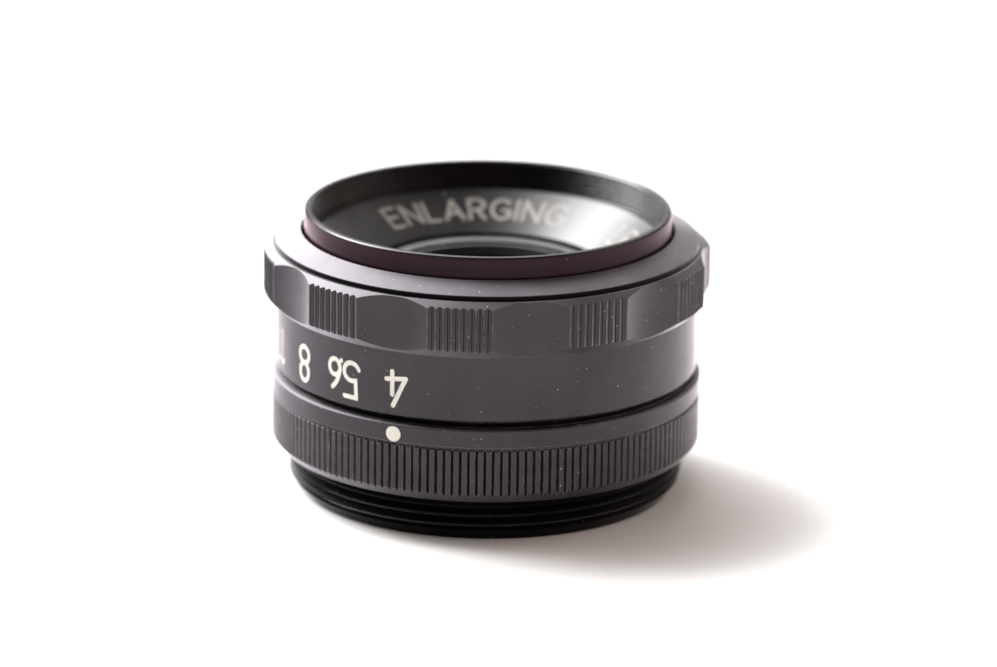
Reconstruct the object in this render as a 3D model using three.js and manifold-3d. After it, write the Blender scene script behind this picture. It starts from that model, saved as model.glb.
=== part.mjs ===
// A 50 mm f/4 enlarging lens on a 39 mm screw thread, standing on its rear rim.
// Millimetres. The origin is the centre of the rear rim, +Z is the optical axis towards the front
// of the lens, and the index dot and the "4" of the aperture scale lie a little left of -Y.
import * as THREE from "three";
import { mergeVertices } from "three/addons/utils/BufferGeometryUtils.js";
import Module from "manifold-3d";

const wasm = await Module();
wasm.setup();

// ---------------------------------------------------------------- driving dimensions

const RING_SEGMENTS = 48;
const INDEX_SEGMENTS = 84;
const INNER_SEGMENTS = 36;
const SCREW_SEGMENTS = 12;

// Gap between fixed pieces that touch, and between pieces that run on each other.
const FIT = 0.05;
const RUN = 0.1;

// 39 mm x 26 turns per inch mounting thread.
const THREAD_RADIUS = 19.5;
const THREAD_PITCH = 25.4 / 26;
const THREAD_DEPTH = 0.6;
const THREAD_FIRST_CREST = 1.85;

// Barrel: one turned piece from the rear rim to the front thread.
const RIM_OUTER = 18.4;
const RIM_INNER = 17.2;
const LEAD_IN_RADIUS = 19.25;
const LEAD_IN_Z = 1.2;
const BODY_RADIUS = THREAD_RADIUS + FIT;
const COLLAR_RADIUS = 20.3;
const TUBE_RADIUS = 17.4;
const FRONT_THREAD_RADIUS = 16.95;
const TUBE_BORE = 15.3;
const NAME_BORE = 16.35;
const WEB_BORE = 10.85;
const WEB_BOTTOM = 9.55;
const WEB_TOP = 11.3;
const BODY_BOTTOM = 4.75;
const COLLAR_BOTTOM = 11.15;
const COLLAR_TOP = 11.9;
const TUBE_SHOULDER = 23.7;
const NAME_STEP = 23.05;
const BARREL_TOP = 25.2;

// Knurled index ring: its underside is the flange that seats on the enlarger's lens board.
const INDEX_RADIUS = 21.23;
const FLANGE_RADIUS = 20.45;
const FLANGE_Z = 4.45;
const KNURL_BOTTOM = 5.4;
const KNURL_TOP = 9.75;
const BAND_BOTTOM = 10.1;
const INDEX_TOP = 11.9;
const INDEX_GROOVE = 0.25;
const INDEX_RIDGES = 168;
const INDEX_RIDGE_DEPTH = 0.3;
const INDEX_RIDGE_FLAT = 0.42;
const INDEX_DOT_RADIUS = 0.79;
const INDEX_DOT_Z = 10.85;
const INDEX_DOT_DEPTH = 0.15;
const INDEX_SCREW_Z = 7.6;
const INDEX_SCREW_RADIUS = 0.6;
const INDEX_SCREW_HEAD = 21.05;
const INDEX_SCREW_ANGLES = [30, 150];

// Thrust washer under the aperture ring.
const WASHER_INNER = 19.25;
const WASHER_OUTER = 20.1;

// Aperture ring: cone shoulder, scalloped grip and numbered skirt.
const SKIRT_RADIUS = 20.8;
const SKIRT_BOTTOM = 12.55;
const SKIRT_TOP = 19.0;
const GRIP_RADIUS = 22.1;
const GRIP_BOTTOM = 20.1;
const GRIP_TOP = 24.1;
const LEDGE_Z = 24.7;
const LEDGE_OUTER = 21.2;
const CONE_OUTER = 20.87;
const CONE_BOTTOM = 25.2;
const CONE_INNER = 18.45;
const CONE_TOP = 26.12;
const APERTURE_FOOT_Z = 12.3;
const FOOT_RADIUS = 20.2;
const APERTURE_STEP_Z = 23.6;
const RELIEF_RADIUS = 18.6;
const RELIEF_BOTTOM = 17.0;
const RELIEF_TOP = 21.6;
const RELIEF_SLOPE = 0.6;
const SCALLOPS = 10;
const SCALLOP_FLOOR = 21.25;
const SCALLOP_HALF_ANGLE = 9.7;
const LAND_GROOVES = 8;
const GROOVE_PITCH = 0.78;
const GROOVE_DEPTH = 0.22;
const GROOVE_RADIUS = 0.456;

// Aperture scale: the index line, the turn for one stop, and the number of stops from f/4 to f/16.
const INDEX_ANGLE = -90 - 24.7;
const STOP_ANGLE = 16.8;
const STOPS = 4;
const APERTURE_TURN = STOP_ANGLE * STOPS;

// Filter ring and name ring.
const FILTER_RADIUS = 18.1;
const FILTER_BORE = 17.25;
const LENS_TOP = 28.2;
const NAME_OUTER = 16.3;
const NAME_OUTER_Z = 25.5;
const NAME_INNER = 11.3;
const NAME_INNER_Z = 22.35;
const NAME_THICKNESS = 0.5;
const NAME_NECK = 15.35;
const NAME_NECK_Z = 24.0;

// Iris: the blades stand in a stack, one level each, between the pivot plate and the cam ring.
const BLADES = 8;
const BLADE_THICKNESS = 0.12;
const BLADE_LEVEL = 0.2;
const BLADES_BOTTOM = 12.15;
const BLADE_INNER = 5.5;
const BLADE_OUTER = 9.4;
const BLADE_ARC = 112;
const PIVOT_CIRCLE = 12;
const STUD_RADIUS = 0.35;
const STUD_ARM = 6;
const STUD_ARM_ANGLE = 92.3;
const BLADE_TURN = 20;
const STUD_CLEARANCE = 0.08;
const FULL_STOP_RADIUS = 5.3;
const PLATE_BOTTOM = WEB_TOP + FIT;
const PLATE_TOP = 12.05;
const CAM_BOTTOM = 13.8;
const CAM_TOP = 15.0;
const CAM_BORE = 9.6;
const IRIS_RETAINER_BORE = 13.0;
const IRIS_RETAINER_RADIUS = 15.25;
const IRIS_RETAINER_TOP = 15.8;

// Drive screw: fixed in the aperture ring, it turns the cam ring through a slot in the barrel.
const DRIVE_ANGLE = 60;
const DRIVE_Z = (CAM_BOTTOM + CAM_TOP) / 2;
const DRIVE_SHANK = 0.55;
const DRIVE_HEAD = 1.0;
const DRIVE_TIP = 14.1;
const DRIVE_HEAD_FROM = 19.6;
const DRIVE_HEAD_TO = 20.65;

// Click stop: a spring pushes a ball up into the dimples under the aperture ring.
const CLICK_CIRCLE = 18.4;
const CLICK_ANGLE = 200;
const BALL_RADIUS = 0.55;
const BALL_TRAVEL = 0.2;
const BALL_HOLE = 0.68;
const BALL_Z = APERTURE_FOOT_Z - FIT - BALL_RADIUS;
const SPRING_BOTTOM = 8.6;
const SPRING_WIRE = 0.11;
const SPRING_TURNS = 5;

// Front cell: a flanged tube that hangs in the barrel and carries the two front lenses.
const CELL_FLANGE_RADIUS = 15.2;
const CELL_FLANGE_BOTTOM = 16.0;
const CELL_FLANGE_TOP = 18.2;
const CELL_RADIUS = 10.9;
const CELL_TOP = 22.0;
const CELL_THREAD = 9.6;
const CELL_SEAT = 6.7;
const CELL_NOSE = 8.9;
const RETAINER_RIM = 9.1;
const RETAINER_TOP = 21.7;
const RETAINER_LIP = 20.9;

// Rear cell: screwed into the web of the barrel from behind.
const REAR_CELL_RADIUS = 11.6;
const REAR_CELL_BOTTOM = 3.6;
const REAR_CELL_THREAD = 8.25;
const REAR_CELL_STOP = 6.8;
const REAR_CELL_FLARE = 7.4;
const REAR_CELL_FLARE_Z = 10.7;
const REAR_RETAINER_BOTTOM = 5.2;

// Glass: a triplet with a cemented rear pair.
const FRONT_RADIUS = 8.6;
const FRONT_CURVE = 19.5;
const FRONT_VERTEX = 21.8;
const FRONT_BACK = 18.8;
const FRONT_CLEAR = 8.1;
const SECOND_RADIUS = 7.6;
const SECOND_FRONT_CURVE = -23.7;
const SECOND_BACK_CURVE = 16.6;
const SECOND_FRONT_VERTEX = 16.7;
const SECOND_BACK_VERTEX = 15.5;
const SECOND_FRONT_CLEAR = 7.0;
const SECOND_BACK_CLEAR = 6.6;
const REAR_RADIUS = 7.4;
const REAR_FRONT = 10.4;
const CEMENT_CURVE = 15;
const CEMENT_VERTEX = 9.4;
const REAR_CURVE = -21.4;
const REAR_VERTEX = 5.8;
const REAR_CLEAR = 6.7;

// ---------------------------------------------------------------- materials

const finish = (color, roughness, metalness) =>
  new THREE.MeshStandardMaterial({ color, roughness, metalness });
const BLACK_ANODISED = finish(0x2b292b, 0.45, 0.6);
const PURPLE_ANODISED = finish(0x3a2b30, 0.35, 0.6);
const NAME_PLATE = finish(0x4b4846, 0.4, 0.5);
const INNER_BLACK = finish(0x151415, 0.7, 0.2);
const BLADE_BLACK = finish(0x1d1d20, 0.55, 0.5);
const STEEL = finish(0x9a9da0, 0.3, 0.9);
const BRASS = finish(0xb08d4a, 0.35, 0.9);
const GLASS = new THREE.MeshStandardMaterial({
  color: 0x8fa0a8, roughness: 0.02, metalness: 0, transparent: true, opacity: 0.35,
});

// ---------------------------------------------------------------- helpers

const radians = THREE.MathUtils.degToRad;

/** The point at a radius and an angle in degrees, anticlockwise from +X. */
function polar(radius, degrees) {
  const angle = radians(degrees);
  return new THREE.Vector2(radius * Math.cos(angle), radius * Math.sin(angle));
}

/** Turns every face the other way when the closed surface is inside out. */
function facingOut(geometry) {
  const at = geometry.getAttribute("position");
  const index = geometry.getIndex().array;
  const a = new THREE.Vector3();
  const b = new THREE.Vector3();
  const c = new THREE.Vector3();
  let volume = 0;
  for (let i = 0; i < index.length; i += 3) {
    a.fromBufferAttribute(at, index[i]);
    b.fromBufferAttribute(at, index[i + 1]);
    c.fromBufferAttribute(at, index[i + 2]);
    volume += a.dot(b.cross(c));
  }
  if (volume < 0) {
    for (let i = 0; i < index.length; i += 3) {
      [index[i + 1], index[i + 2]] = [index[i + 2], index[i + 1]];
    }
  }
  return geometry;
}

/** The same surface as a closed mesh with shared vertices and no collapsed triangles. */
function closed(geometry) {
  const bare = geometry.clone();
  bare.deleteAttribute("normal");
  bare.deleteAttribute("uv");
  const merged = mergeVertices(bare, 1e-5);
  const old = merged.getIndex().array;
  const kept = [];
  for (let i = 0; i < old.length; i += 3) {
    const [a, b, c] = [old[i], old[i + 1], old[i + 2]];
    if (a !== b && b !== c && c !== a) {
      kept.push(a, b, c);
    }
  }
  merged.setIndex(kept);
  return facingOut(merged);
}

/** A geometry as a solid that can be joined and cut. */
function solid(geometry) {
  const shape = closed(geometry);
  return new wasm.Manifold(new wasm.Mesh({
    numProp: 3,
    vertProperties: new Float32Array(shape.getAttribute("position").array),
    triVerts: new Uint32Array(shape.getIndex().array),
  }));
}

/** A solid as a geometry. */
function surface(body) {
  const data = body.getMesh();
  const geometry = new THREE.BufferGeometry();
  geometry.setAttribute("position", new THREE.BufferAttribute(data.vertProperties, 3));
  geometry.setIndex(new THREE.BufferAttribute(data.triVerts, 1));
  return geometry;
}

/** A piece turned about +Z from a list of [radius, height] points that closes on itself. */
function turned(profile, segments = RING_SEGMENTS) {
  const points = profile.map(([radius, height]) => new THREE.Vector2(radius, height));
  if (profile[0][0] > 0) {
    points.push(points[0].clone());
  }
  return closed(new THREE.LatheGeometry(points, segments).rotateX(Math.PI / 2));
}

/** A cylinder along +Z between two heights. */
function rod(radius, bottom, top, segments = SCREW_SEGMENTS) {
  const shape = new THREE.CylinderGeometry(radius, radius, top - bottom, segments);
  return shape.rotateX(Math.PI / 2).translate(0, 0, (bottom + top) / 2);
}

/** A cylinder that points outwards at an angle and a height, between two radii. */
function spoke(radius, from, to, degrees, height) {
  const shape = new THREE.CylinderGeometry(radius, radius, to - from, SCREW_SEGMENTS);
  shape.rotateZ(-Math.PI / 2).translate((from + to) / 2, 0, height);
  return shape.rotateZ(radians(degrees));
}

/** A box that points outwards at an angle, from its radial range, width and height range. */
function bar(from, to, width, bottom, top, degrees) {
  const shape = new THREE.BoxGeometry(to - from, width, top - bottom);
  shape.translate((from + to) / 2, 0, (bottom + top) / 2);
  return shape.rotateZ(radians(degrees));
}

/** A flat shape given thickness between two heights. */
function plate(shape, bottom, top) {
  const options = { depth: top - bottom, bevelEnabled: false, curveSegments: RING_SEGMENTS / 2 };
  return new THREE.ExtrudeGeometry(shape, options).translate(0, 0, bottom);
}

/** A round opening in a flat shape. */
function roundHole(x, y, radius) {
  return new THREE.Path().absarc(x, y, radius, 0, 2 * Math.PI, true);
}

/** Cuts a list of geometries out of a geometry. */
function cut(base, tools) {
  const cutters = tools.map((tool) => solid(tool));
  return surface(cutters.reduce((body, cutter) => body.subtract(cutter), solid(base)));
}

/** Joins a list of geometries into one. */
function join(pieces) {
  return surface(pieces.map((piece) => solid(piece)).reduce((whole, piece) => whole.add(piece)));
}

/** Two opposite slots for a pin spanner across the face of a turned ring. */
function spannerSlots(from, to, bottom, top) {
  const width = 1;
  return [0, 180].map((degrees) => bar(from, to, width, bottom, top, degrees));
}

/** Height of a spherical lens face at a radius; a positive curve bulges towards +Z. */
function faceHeight(vertex, curve, radius) {
  const sag = Math.abs(curve) - Math.sqrt(curve * curve - radius * radius);
  return vertex - Math.sign(curve) * sag;
}

/** [radius, height] points across a spherical face, from the axis to the clear radius. */
function facePoints(vertex, curve, clear) {
  const steps = 4;
  const points = [];
  for (let i = 0; i <= steps; i += 1) {
    const radius = (clear * i) / steps;
    points.push([radius, faceHeight(vertex, curve, radius)]);
  }
  return points;
}

const lens = new THREE.Group();

/** Adds a named piece to the lens. */
function piece(name, geometry, material) {
  const mesh = new THREE.Mesh(geometry, material);
  mesh.name = name;
  lens.add(mesh);
}

// ---------------------------------------------------------------- barrel and fixed rings

/** Crest and root points of the mounting thread. */
function threadProfile() {
  const root = THREAD_RADIUS - THREAD_DEPTH;
  const points = [];
  for (let turn = 0; turn < 2; turn += 1) {
    const crest = THREAD_FIRST_CREST + turn * THREAD_PITCH;
    points.push([root, crest - THREAD_PITCH / 2]);
    points.push([THREAD_RADIUS, crest]);
  }
  points.push([root, THREAD_FIRST_CREST + 1.5 * THREAD_PITCH]);
  return points;
}

/** The arc slot in the barrel wall that the drive screw travels in. */
function driveSlot() {
  const spare = 2.8;
  const inner = TUBE_BORE - 1;
  const outer = TUBE_RADIUS + 1;
  const start = radians(DRIVE_ANGLE - spare);
  const end = radians(DRIVE_ANGLE + APERTURE_TURN + spare);
  const shape = new THREE.Shape();
  shape.absarc(0, 0, outer, start, end, false);
  shape.absarc(0, 0, inner, end, start, true);
  const halfHeight = DRIVE_SHANK + RUN;
  const options = { depth: 2 * halfHeight, bevelEnabled: false, curveSegments: 6 };
  return new THREE.ExtrudeGeometry(shape, options).translate(0, 0, DRIVE_Z - halfHeight);
}

function lensBarrel() {
  const body = turned([
    [RIM_INNER, 0],
    [RIM_OUTER, 0],
    [LEAD_IN_RADIUS, LEAD_IN_Z],
    ...threadProfile(),
    [THREAD_RADIUS - THREAD_DEPTH, BODY_BOTTOM],
    [BODY_RADIUS, BODY_BOTTOM],
    [BODY_RADIUS, COLLAR_BOTTOM],
    [COLLAR_RADIUS, COLLAR_BOTTOM],
    [COLLAR_RADIUS, COLLAR_TOP],
    [TUBE_RADIUS, COLLAR_TOP],
    [TUBE_RADIUS, TUBE_SHOULDER],
    [FRONT_THREAD_RADIUS, TUBE_SHOULDER],
    [FRONT_THREAD_RADIUS, BARREL_TOP],
    [NAME_BORE, BARREL_TOP],
    [NAME_BORE, NAME_STEP],
    [TUBE_BORE, NAME_STEP],
    [TUBE_BORE, WEB_TOP],
    [WEB_BORE, WEB_TOP],
    [WEB_BORE, WEB_BOTTOM],
    [RIM_INNER, WEB_BOTTOM],
  ]);
  const ballHole = rod(BALL_HOLE, SPRING_BOTTOM - FIT, COLLAR_TOP + 1);
  const at = polar(CLICK_CIRCLE, CLICK_ANGLE);
  return cut(body, [driveSlot(), ballHole.translate(at.x, at.y, 0)]);
}
piece("lens_barrel", lensBarrel(), BLACK_ANODISED);

/** V-shaped grooves that leave the flat-topped ridges round the index ring. */
function indexGrooves() {
  const pitch = (2 * Math.PI * INDEX_RADIUS) / INDEX_RIDGES;
  const slope = (pitch - INDEX_RIDGE_FLAT) / 2 / INDEX_RIDGE_DEPTH;
  const root = INDEX_RADIUS - INDEX_RIDGE_DEPTH;
  const outside = INDEX_RADIUS + INDEX_RIDGE_DEPTH;
  const halfWidth = slope * (outside - root);
  const shape = new THREE.Shape([
    new THREE.Vector2(root, 0),
    new THREE.Vector2(outside, -halfWidth),
    new THREE.Vector2(outside, halfWidth),
  ]);
  const top = (KNURL_TOP + BAND_BOTTOM) / 2;
  const grooves = [];
  for (let i = 0; i < INDEX_RIDGES; i += 1) {
    const groove = plate(shape, FLANGE_Z - 1, top);
    grooves.push(groove.rotateZ((i * 2 * Math.PI) / INDEX_RIDGES));
  }
  return grooves;
}

function indexRing() {
  const bore = BODY_RADIUS + RUN;
  const edge = 0.15;
  const body = turned([
    [bore, FLANGE_Z],
    [FLANGE_RADIUS, FLANGE_Z],
    [INDEX_RADIUS, KNURL_BOTTOM],
    [INDEX_RADIUS, KNURL_TOP],
    [INDEX_RADIUS - INDEX_GROOVE, KNURL_TOP + 0.05],
    [INDEX_RADIUS - INDEX_GROOVE, BAND_BOTTOM - 0.05],
    [INDEX_RADIUS, BAND_BOTTOM],
    [INDEX_RADIUS, INDEX_TOP - edge],
    [INDEX_RADIUS - edge, INDEX_TOP],
    [COLLAR_RADIUS + RUN, INDEX_TOP],
    [COLLAR_RADIUS + RUN, COLLAR_BOTTOM - FIT],
    [bore, COLLAR_BOTTOM - FIT],
  ], INDEX_SEGMENTS);
  const from = INDEX_RADIUS - INDEX_DOT_DEPTH;
  const to = INDEX_RADIUS + 1;
  const hole = INDEX_SCREW_RADIUS + 0.08;
  return cut(body, [
    ...indexGrooves(),
    spoke(INDEX_DOT_RADIUS, from, to, INDEX_ANGLE, INDEX_DOT_Z),
    ...INDEX_SCREW_ANGLES.map((angle) => spoke(hole, bore - 1, to, angle, INDEX_SCREW_Z)),
  ]);
}
piece("index_ring", indexRing(), BLACK_ANODISED);

function indexScrew(angle) {
  const slotFrom = INDEX_SCREW_HEAD - 0.3;
  const slotTo = INDEX_SCREW_HEAD + 0.3;
  const slot = bar(slotFrom, slotTo, 0.25, INDEX_SCREW_Z - 1, INDEX_SCREW_Z + 1, angle);
  const shank = spoke(INDEX_SCREW_RADIUS, BODY_RADIUS + FIT, INDEX_SCREW_HEAD, angle, INDEX_SCREW_Z);
  return cut(shank, [slot]);
}
INDEX_SCREW_ANGLES.forEach((angle, i) => piece(`index_screw_${i + 1}`, indexScrew(angle), STEEL));

piece("thrust_washer", turned([
  [WASHER_INNER, COLLAR_TOP + FIT],
  [WASHER_OUTER, COLLAR_TOP + FIT],
  [WASHER_OUTER, APERTURE_FOOT_Z - RUN],
  [WASHER_INNER, APERTURE_FOOT_Z - RUN],
], INNER_SEGMENTS), INNER_BLACK);

piece("filter_ring", turned([
  [FRONT_THREAD_RADIUS + RUN, TUBE_SHOULDER + FIT],
  [FILTER_RADIUS, TUBE_SHOULDER + FIT],
  [FILTER_RADIUS, LENS_TOP - 0.2],
  [FILTER_RADIUS - 0.2, LENS_TOP],
  [FILTER_BORE + 0.2, LENS_TOP],
  [FILTER_BORE, LENS_TOP - 0.2],
  [FILTER_BORE, BARREL_TOP + 0.2],
  [FRONT_THREAD_RADIUS + RUN, BARREL_TOP + 0.1],
]), PURPLE_ANODISED);

piece("name_ring", turned([
  [NAME_OUTER, NAME_STEP + FIT],
  [NAME_OUTER, NAME_OUTER_Z],
  [NAME_INNER, NAME_INNER_Z],
  [NAME_INNER, NAME_INNER_Z - NAME_THICKNESS],
  [NAME_NECK, NAME_NECK_Z],
  [NAME_NECK, NAME_STEP + FIT],
]), NAME_PLATE);

// ---------------------------------------------------------------- front cell

const SECOND_SEAT = faceHeight(SECOND_BACK_VERTEX, SECOND_BACK_CURVE, SECOND_BACK_CLEAR) - FIT;
const SECOND_TOP = faceHeight(SECOND_FRONT_VERTEX, SECOND_FRONT_CURVE, SECOND_FRONT_CLEAR);
const FRONT_EDGE_TOP = faceHeight(FRONT_VERTEX, FRONT_CURVE, FRONT_CLEAR);

piece("front_cell", turned([
  [CELL_FLANGE_RADIUS, CELL_FLANGE_BOTTOM],
  [CELL_FLANGE_RADIUS, CELL_FLANGE_TOP],
  [CELL_RADIUS, CELL_FLANGE_TOP],
  [CELL_RADIUS, CELL_TOP],
  [CELL_THREAD, CELL_TOP],
  [CELL_THREAD, FRONT_EDGE_TOP],
  [FRONT_RADIUS + FIT, FRONT_EDGE_TOP],
  [FRONT_RADIUS + FIT, FRONT_BACK - FIT],
  [SECOND_RADIUS + FIT, FRONT_BACK - FIT],
  [SECOND_RADIUS + FIT, SECOND_SEAT],
  [CELL_SEAT, SECOND_SEAT],
  [CELL_SEAT, CAM_BOTTOM],
  [CELL_NOSE, CAM_BOTTOM],
  [CELL_NOSE, CELL_FLANGE_BOTTOM],
], INNER_SEGMENTS), INNER_BLACK);

piece("front_element", turned([
  ...facePoints(FRONT_VERTEX, FRONT_CURVE, FRONT_CLEAR),
  [FRONT_RADIUS, FRONT_EDGE_TOP],
  [FRONT_RADIUS, FRONT_BACK],
  [0, FRONT_BACK],
], INNER_SEGMENTS), GLASS);

piece("element_spacer", turned([
  [SECOND_FRONT_CLEAR, SECOND_TOP + FIT],
  [SECOND_RADIUS, SECOND_TOP + FIT],
  [SECOND_RADIUS, FRONT_BACK - FIT],
  [SECOND_FRONT_CLEAR, FRONT_BACK - FIT],
], INNER_SEGMENTS), INNER_BLACK);

piece("second_element", turned([
  ...facePoints(SECOND_FRONT_VERTEX, SECOND_FRONT_CURVE, SECOND_FRONT_CLEAR),
  [SECOND_RADIUS, SECOND_TOP],
  [SECOND_RADIUS, SECOND_SEAT + FIT],
  ...facePoints(SECOND_BACK_VERTEX, SECOND_BACK_CURVE, SECOND_BACK_CLEAR).reverse(),
], INNER_SEGMENTS), GLASS);

piece("front_retainer", cut(turned([
  [FRONT_CLEAR + FIT, FRONT_EDGE_TOP + FIT],
  [CELL_THREAD - FIT, FRONT_EDGE_TOP + FIT],
  [CELL_THREAD - FIT, RETAINER_TOP],
  [RETAINER_RIM, RETAINER_TOP],
  [FRONT_CLEAR + FIT, RETAINER_LIP],
], INNER_SEGMENTS), spannerSlots(7, 10, RETAINER_LIP + 0.1, CELL_TOP)), INNER_BLACK);

// ---------------------------------------------------------------- iris

/** Where the drive stud of the first blade stands when the blade has turned by an angle. */
function studPosition(bladeTurn) {
  const arm = polar(STUD_ARM, STUD_ARM_ANGLE + bladeTurn);
  return new THREE.Vector2(PIVOT_CIRCLE + arm.x, arm.y);
}

/** The same stud seen from the cam ring, which has turned by its own angle. */
function studInCamRing(camTurn) {
  const stud = studPosition((camTurn * BLADE_TURN) / APERTURE_TURN);
  return stud.rotateAround(new THREE.Vector2(), radians(-camTurn));
}

/** A crescent with an ear that carries the pivot stud and the drive stud. */
function bladeShape() {
  const ear = 0.85;
  const middle = (BLADE_INNER + BLADE_OUTER) / 2;
  const halfWidth = (BLADE_OUTER - BLADE_INNER) / 2;
  const stud = studPosition(0);
  const tip = polar(middle, BLADE_ARC);
  const shape = new THREE.Shape();
  shape.absarc(0, 0, BLADE_INNER, radians(-6), radians(BLADE_ARC), false);
  shape.absarc(tip.x, tip.y, halfWidth, radians(BLADE_ARC + 180), radians(BLADE_ARC), true);
  shape.absarc(0, 0, BLADE_OUTER, radians(BLADE_ARC), radians(38), true);
  shape.absarc(stud.x, stud.y, ear, radians(130), radians(0), true);
  shape.absarc(PIVOT_CIRCLE, 0, ear, radians(0), radians(-110), true);
  return shape;
}

/** A blade in the open position with its two riveted studs, one down and one up. */
function irisBlade(number) {
  const bottom = BLADES_BOTTOM + number * BLADE_LEVEL;
  const top = bottom + BLADE_THICKNESS;
  const options = { depth: BLADE_THICKNESS, bevelEnabled: false, curveSegments: 4 };
  const leaf = new THREE.ExtrudeGeometry(bladeShape(), options).translate(0, 0, bottom);
  const stud = studPosition(0);
  const studTop = CAM_TOP - 0.2;
  const pivot = rod(STUD_RADIUS, PLATE_BOTTOM + FIT, top, 8).translate(PIVOT_CIRCLE, 0, 0);
  const driven = rod(STUD_RADIUS, bottom, studTop, 8).translate(stud.x, stud.y, 0);
  return join([leaf, pivot, driven]).rotateZ(radians((number * 360) / BLADES));
}

/** The curved slot of one blade: the stud's whole path, widened by the stud and its clearance. */
function camSlot(number) {
  const halfWidth = STUD_RADIUS + STUD_CLEARANCE;
  const steps = 9;
  const spare = 0.6;
  const turn = radians((number * 360) / BLADES);
  const centre = new THREE.Vector2();
  const path = [];
  for (let i = 0; i <= steps; i += 1) {
    const camTurn = -spare + (i * (APERTURE_TURN + 2 * spare)) / steps;
    path.push(studInCamRing(camTurn).rotateAround(centre, turn));
  }
  const heading = (i) => {
    const before = path[Math.max(i - 1, 0)];
    const after = path[Math.min(i + 1, steps)];
    return Math.atan2(after.y - before.y, after.x - before.x);
  };
  const beside = (i, angle) => {
    const along = heading(i) + angle;
    const offset = new THREE.Vector2(Math.cos(along), Math.sin(along));
    return path[i].clone().addScaledVector(offset, halfWidth);
  };
  const outline = [];
  for (let i = 0; i <= steps; i += 1) {
    outline.push(beside(i, Math.PI / 2));
  }
  [0.25, 0, -0.25].forEach((part) => outline.push(beside(steps, part * Math.PI)));
  for (let i = steps; i >= 0; i -= 1) {
    outline.push(beside(i, -Math.PI / 2));
  }
  [-0.75, -1, -1.25].forEach((part) => outline.push(beside(0, part * Math.PI)));
  return new THREE.Path(outline);
}

function irisPlate() {
  const shape = new THREE.Shape().absarc(0, 0, TUBE_BORE - RUN, 0, 2 * Math.PI, false);
  shape.holes.push(roundHole(0, 0, FULL_STOP_RADIUS));
  const body = plate(shape, PLATE_BOTTOM, PLATE_TOP);
  const holes = [];
  for (let number = 0; number < BLADES; number += 1) {
    const at = polar(PIVOT_CIRCLE, (number * 360) / BLADES);
    const hole = rod(STUD_RADIUS + STUD_CLEARANCE, PLATE_BOTTOM - 1, PLATE_TOP + 1, 8);
    holes.push(hole.rotateZ(radians((number * 360) / BLADES)).translate(at.x, at.y, 0));
  }
  return cut(body, holes);
}
piece("iris_plate", irisPlate(), INNER_BLACK);

for (let number = 0; number < BLADES; number += 1) {
  piece(`iris_blade_${number + 1}`, irisBlade(number), BLADE_BLACK);
}

function irisCamRing() {
  const shape = new THREE.Shape().absarc(0, 0, TUBE_BORE - 0.15, 0, 2 * Math.PI, false);
  shape.holes.push(roundHole(0, 0, CAM_BORE));
  for (let number = 0; number < BLADES; number += 1) {
    shape.holes.push(camSlot(number));
  }
  const width = 2 * (DRIVE_SHANK + STUD_CLEARANCE);
  const notch = bar(DRIVE_TIP - 0.15, 16, width, CAM_BOTTOM - 1, CAM_TOP + 1, DRIVE_ANGLE);
  return cut(plate(shape, CAM_BOTTOM, CAM_TOP), [notch]);
}
piece("iris_cam_ring", irisCamRing(), BRASS);

piece("iris_retainer", cut(turned([
  [IRIS_RETAINER_BORE, CAM_TOP + RUN],
  [IRIS_RETAINER_RADIUS, CAM_TOP + RUN],
  [IRIS_RETAINER_RADIUS, IRIS_RETAINER_TOP],
  [IRIS_RETAINER_BORE, IRIS_RETAINER_TOP],
], INNER_SEGMENTS), spannerSlots(12, 14.2, IRIS_RETAINER_TOP - 0.4, 17)), INNER_BLACK);

// ---------------------------------------------------------------- aperture ring and its drive

/** Upright cylinders whose sides hollow out the grip between its ridged lands. */
function scallopCutters() {
  const edge = polar(GRIP_RADIUS, SCALLOP_HALF_ANGLE);
  const depth = edge.x - SCALLOP_FLOOR;
  const radius = (depth * depth + edge.y * edge.y) / (2 * depth);
  const cutters = [];
  for (let i = 0; i < SCALLOPS; i += 1) {
    const at = polar(SCALLOP_FLOOR + radius, INDEX_ANGLE + (i * 360) / SCALLOPS);
    cutters.push(rod(radius, SKIRT_TOP - 1, LEDGE_Z + 1, 72).translate(at.x, at.y, 0));
  }
  return cutters;
}

/** Round-bottomed upright grooves that ridge each land of the grip. */
function landGrooves() {
  const centre = GRIP_RADIUS + GROOVE_RADIUS - GROOVE_DEPTH;
  const step = THREE.MathUtils.radToDeg(GROOVE_PITCH / GRIP_RADIUS);
  const grooves = [];
  for (let i = 0; i < SCALLOPS * LAND_GROOVES; i += 1) {
    const land = Math.floor(i / LAND_GROOVES);
    const along = (i % LAND_GROOVES) - (LAND_GROOVES - 1) / 2;
    const middle = INDEX_ANGLE + ((land + 0.5) * 360) / SCALLOPS;
    const at = polar(centre, middle + along * step);
    const groove = rod(GROOVE_RADIUS, SKIRT_TOP, LEDGE_Z + 1);
    grooves.push(groove.translate(at.x, at.y, 0));
  }
  return grooves;
}

/** One dimple under the ring for each marked stop. */
function clickDimples() {
  const dimples = [];
  for (let stop = 0; stop <= STOPS; stop += 1) {
    const at = polar(CLICK_CIRCLE, CLICK_ANGLE - stop * STOP_ANGLE);
    const ball = new THREE.SphereGeometry(BALL_RADIUS + RUN, 8, 6).rotateX(Math.PI / 2);
    dimples.push(ball.translate(at.x, at.y, BALL_Z + BALL_TRAVEL));
  }
  return dimples;
}

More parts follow.
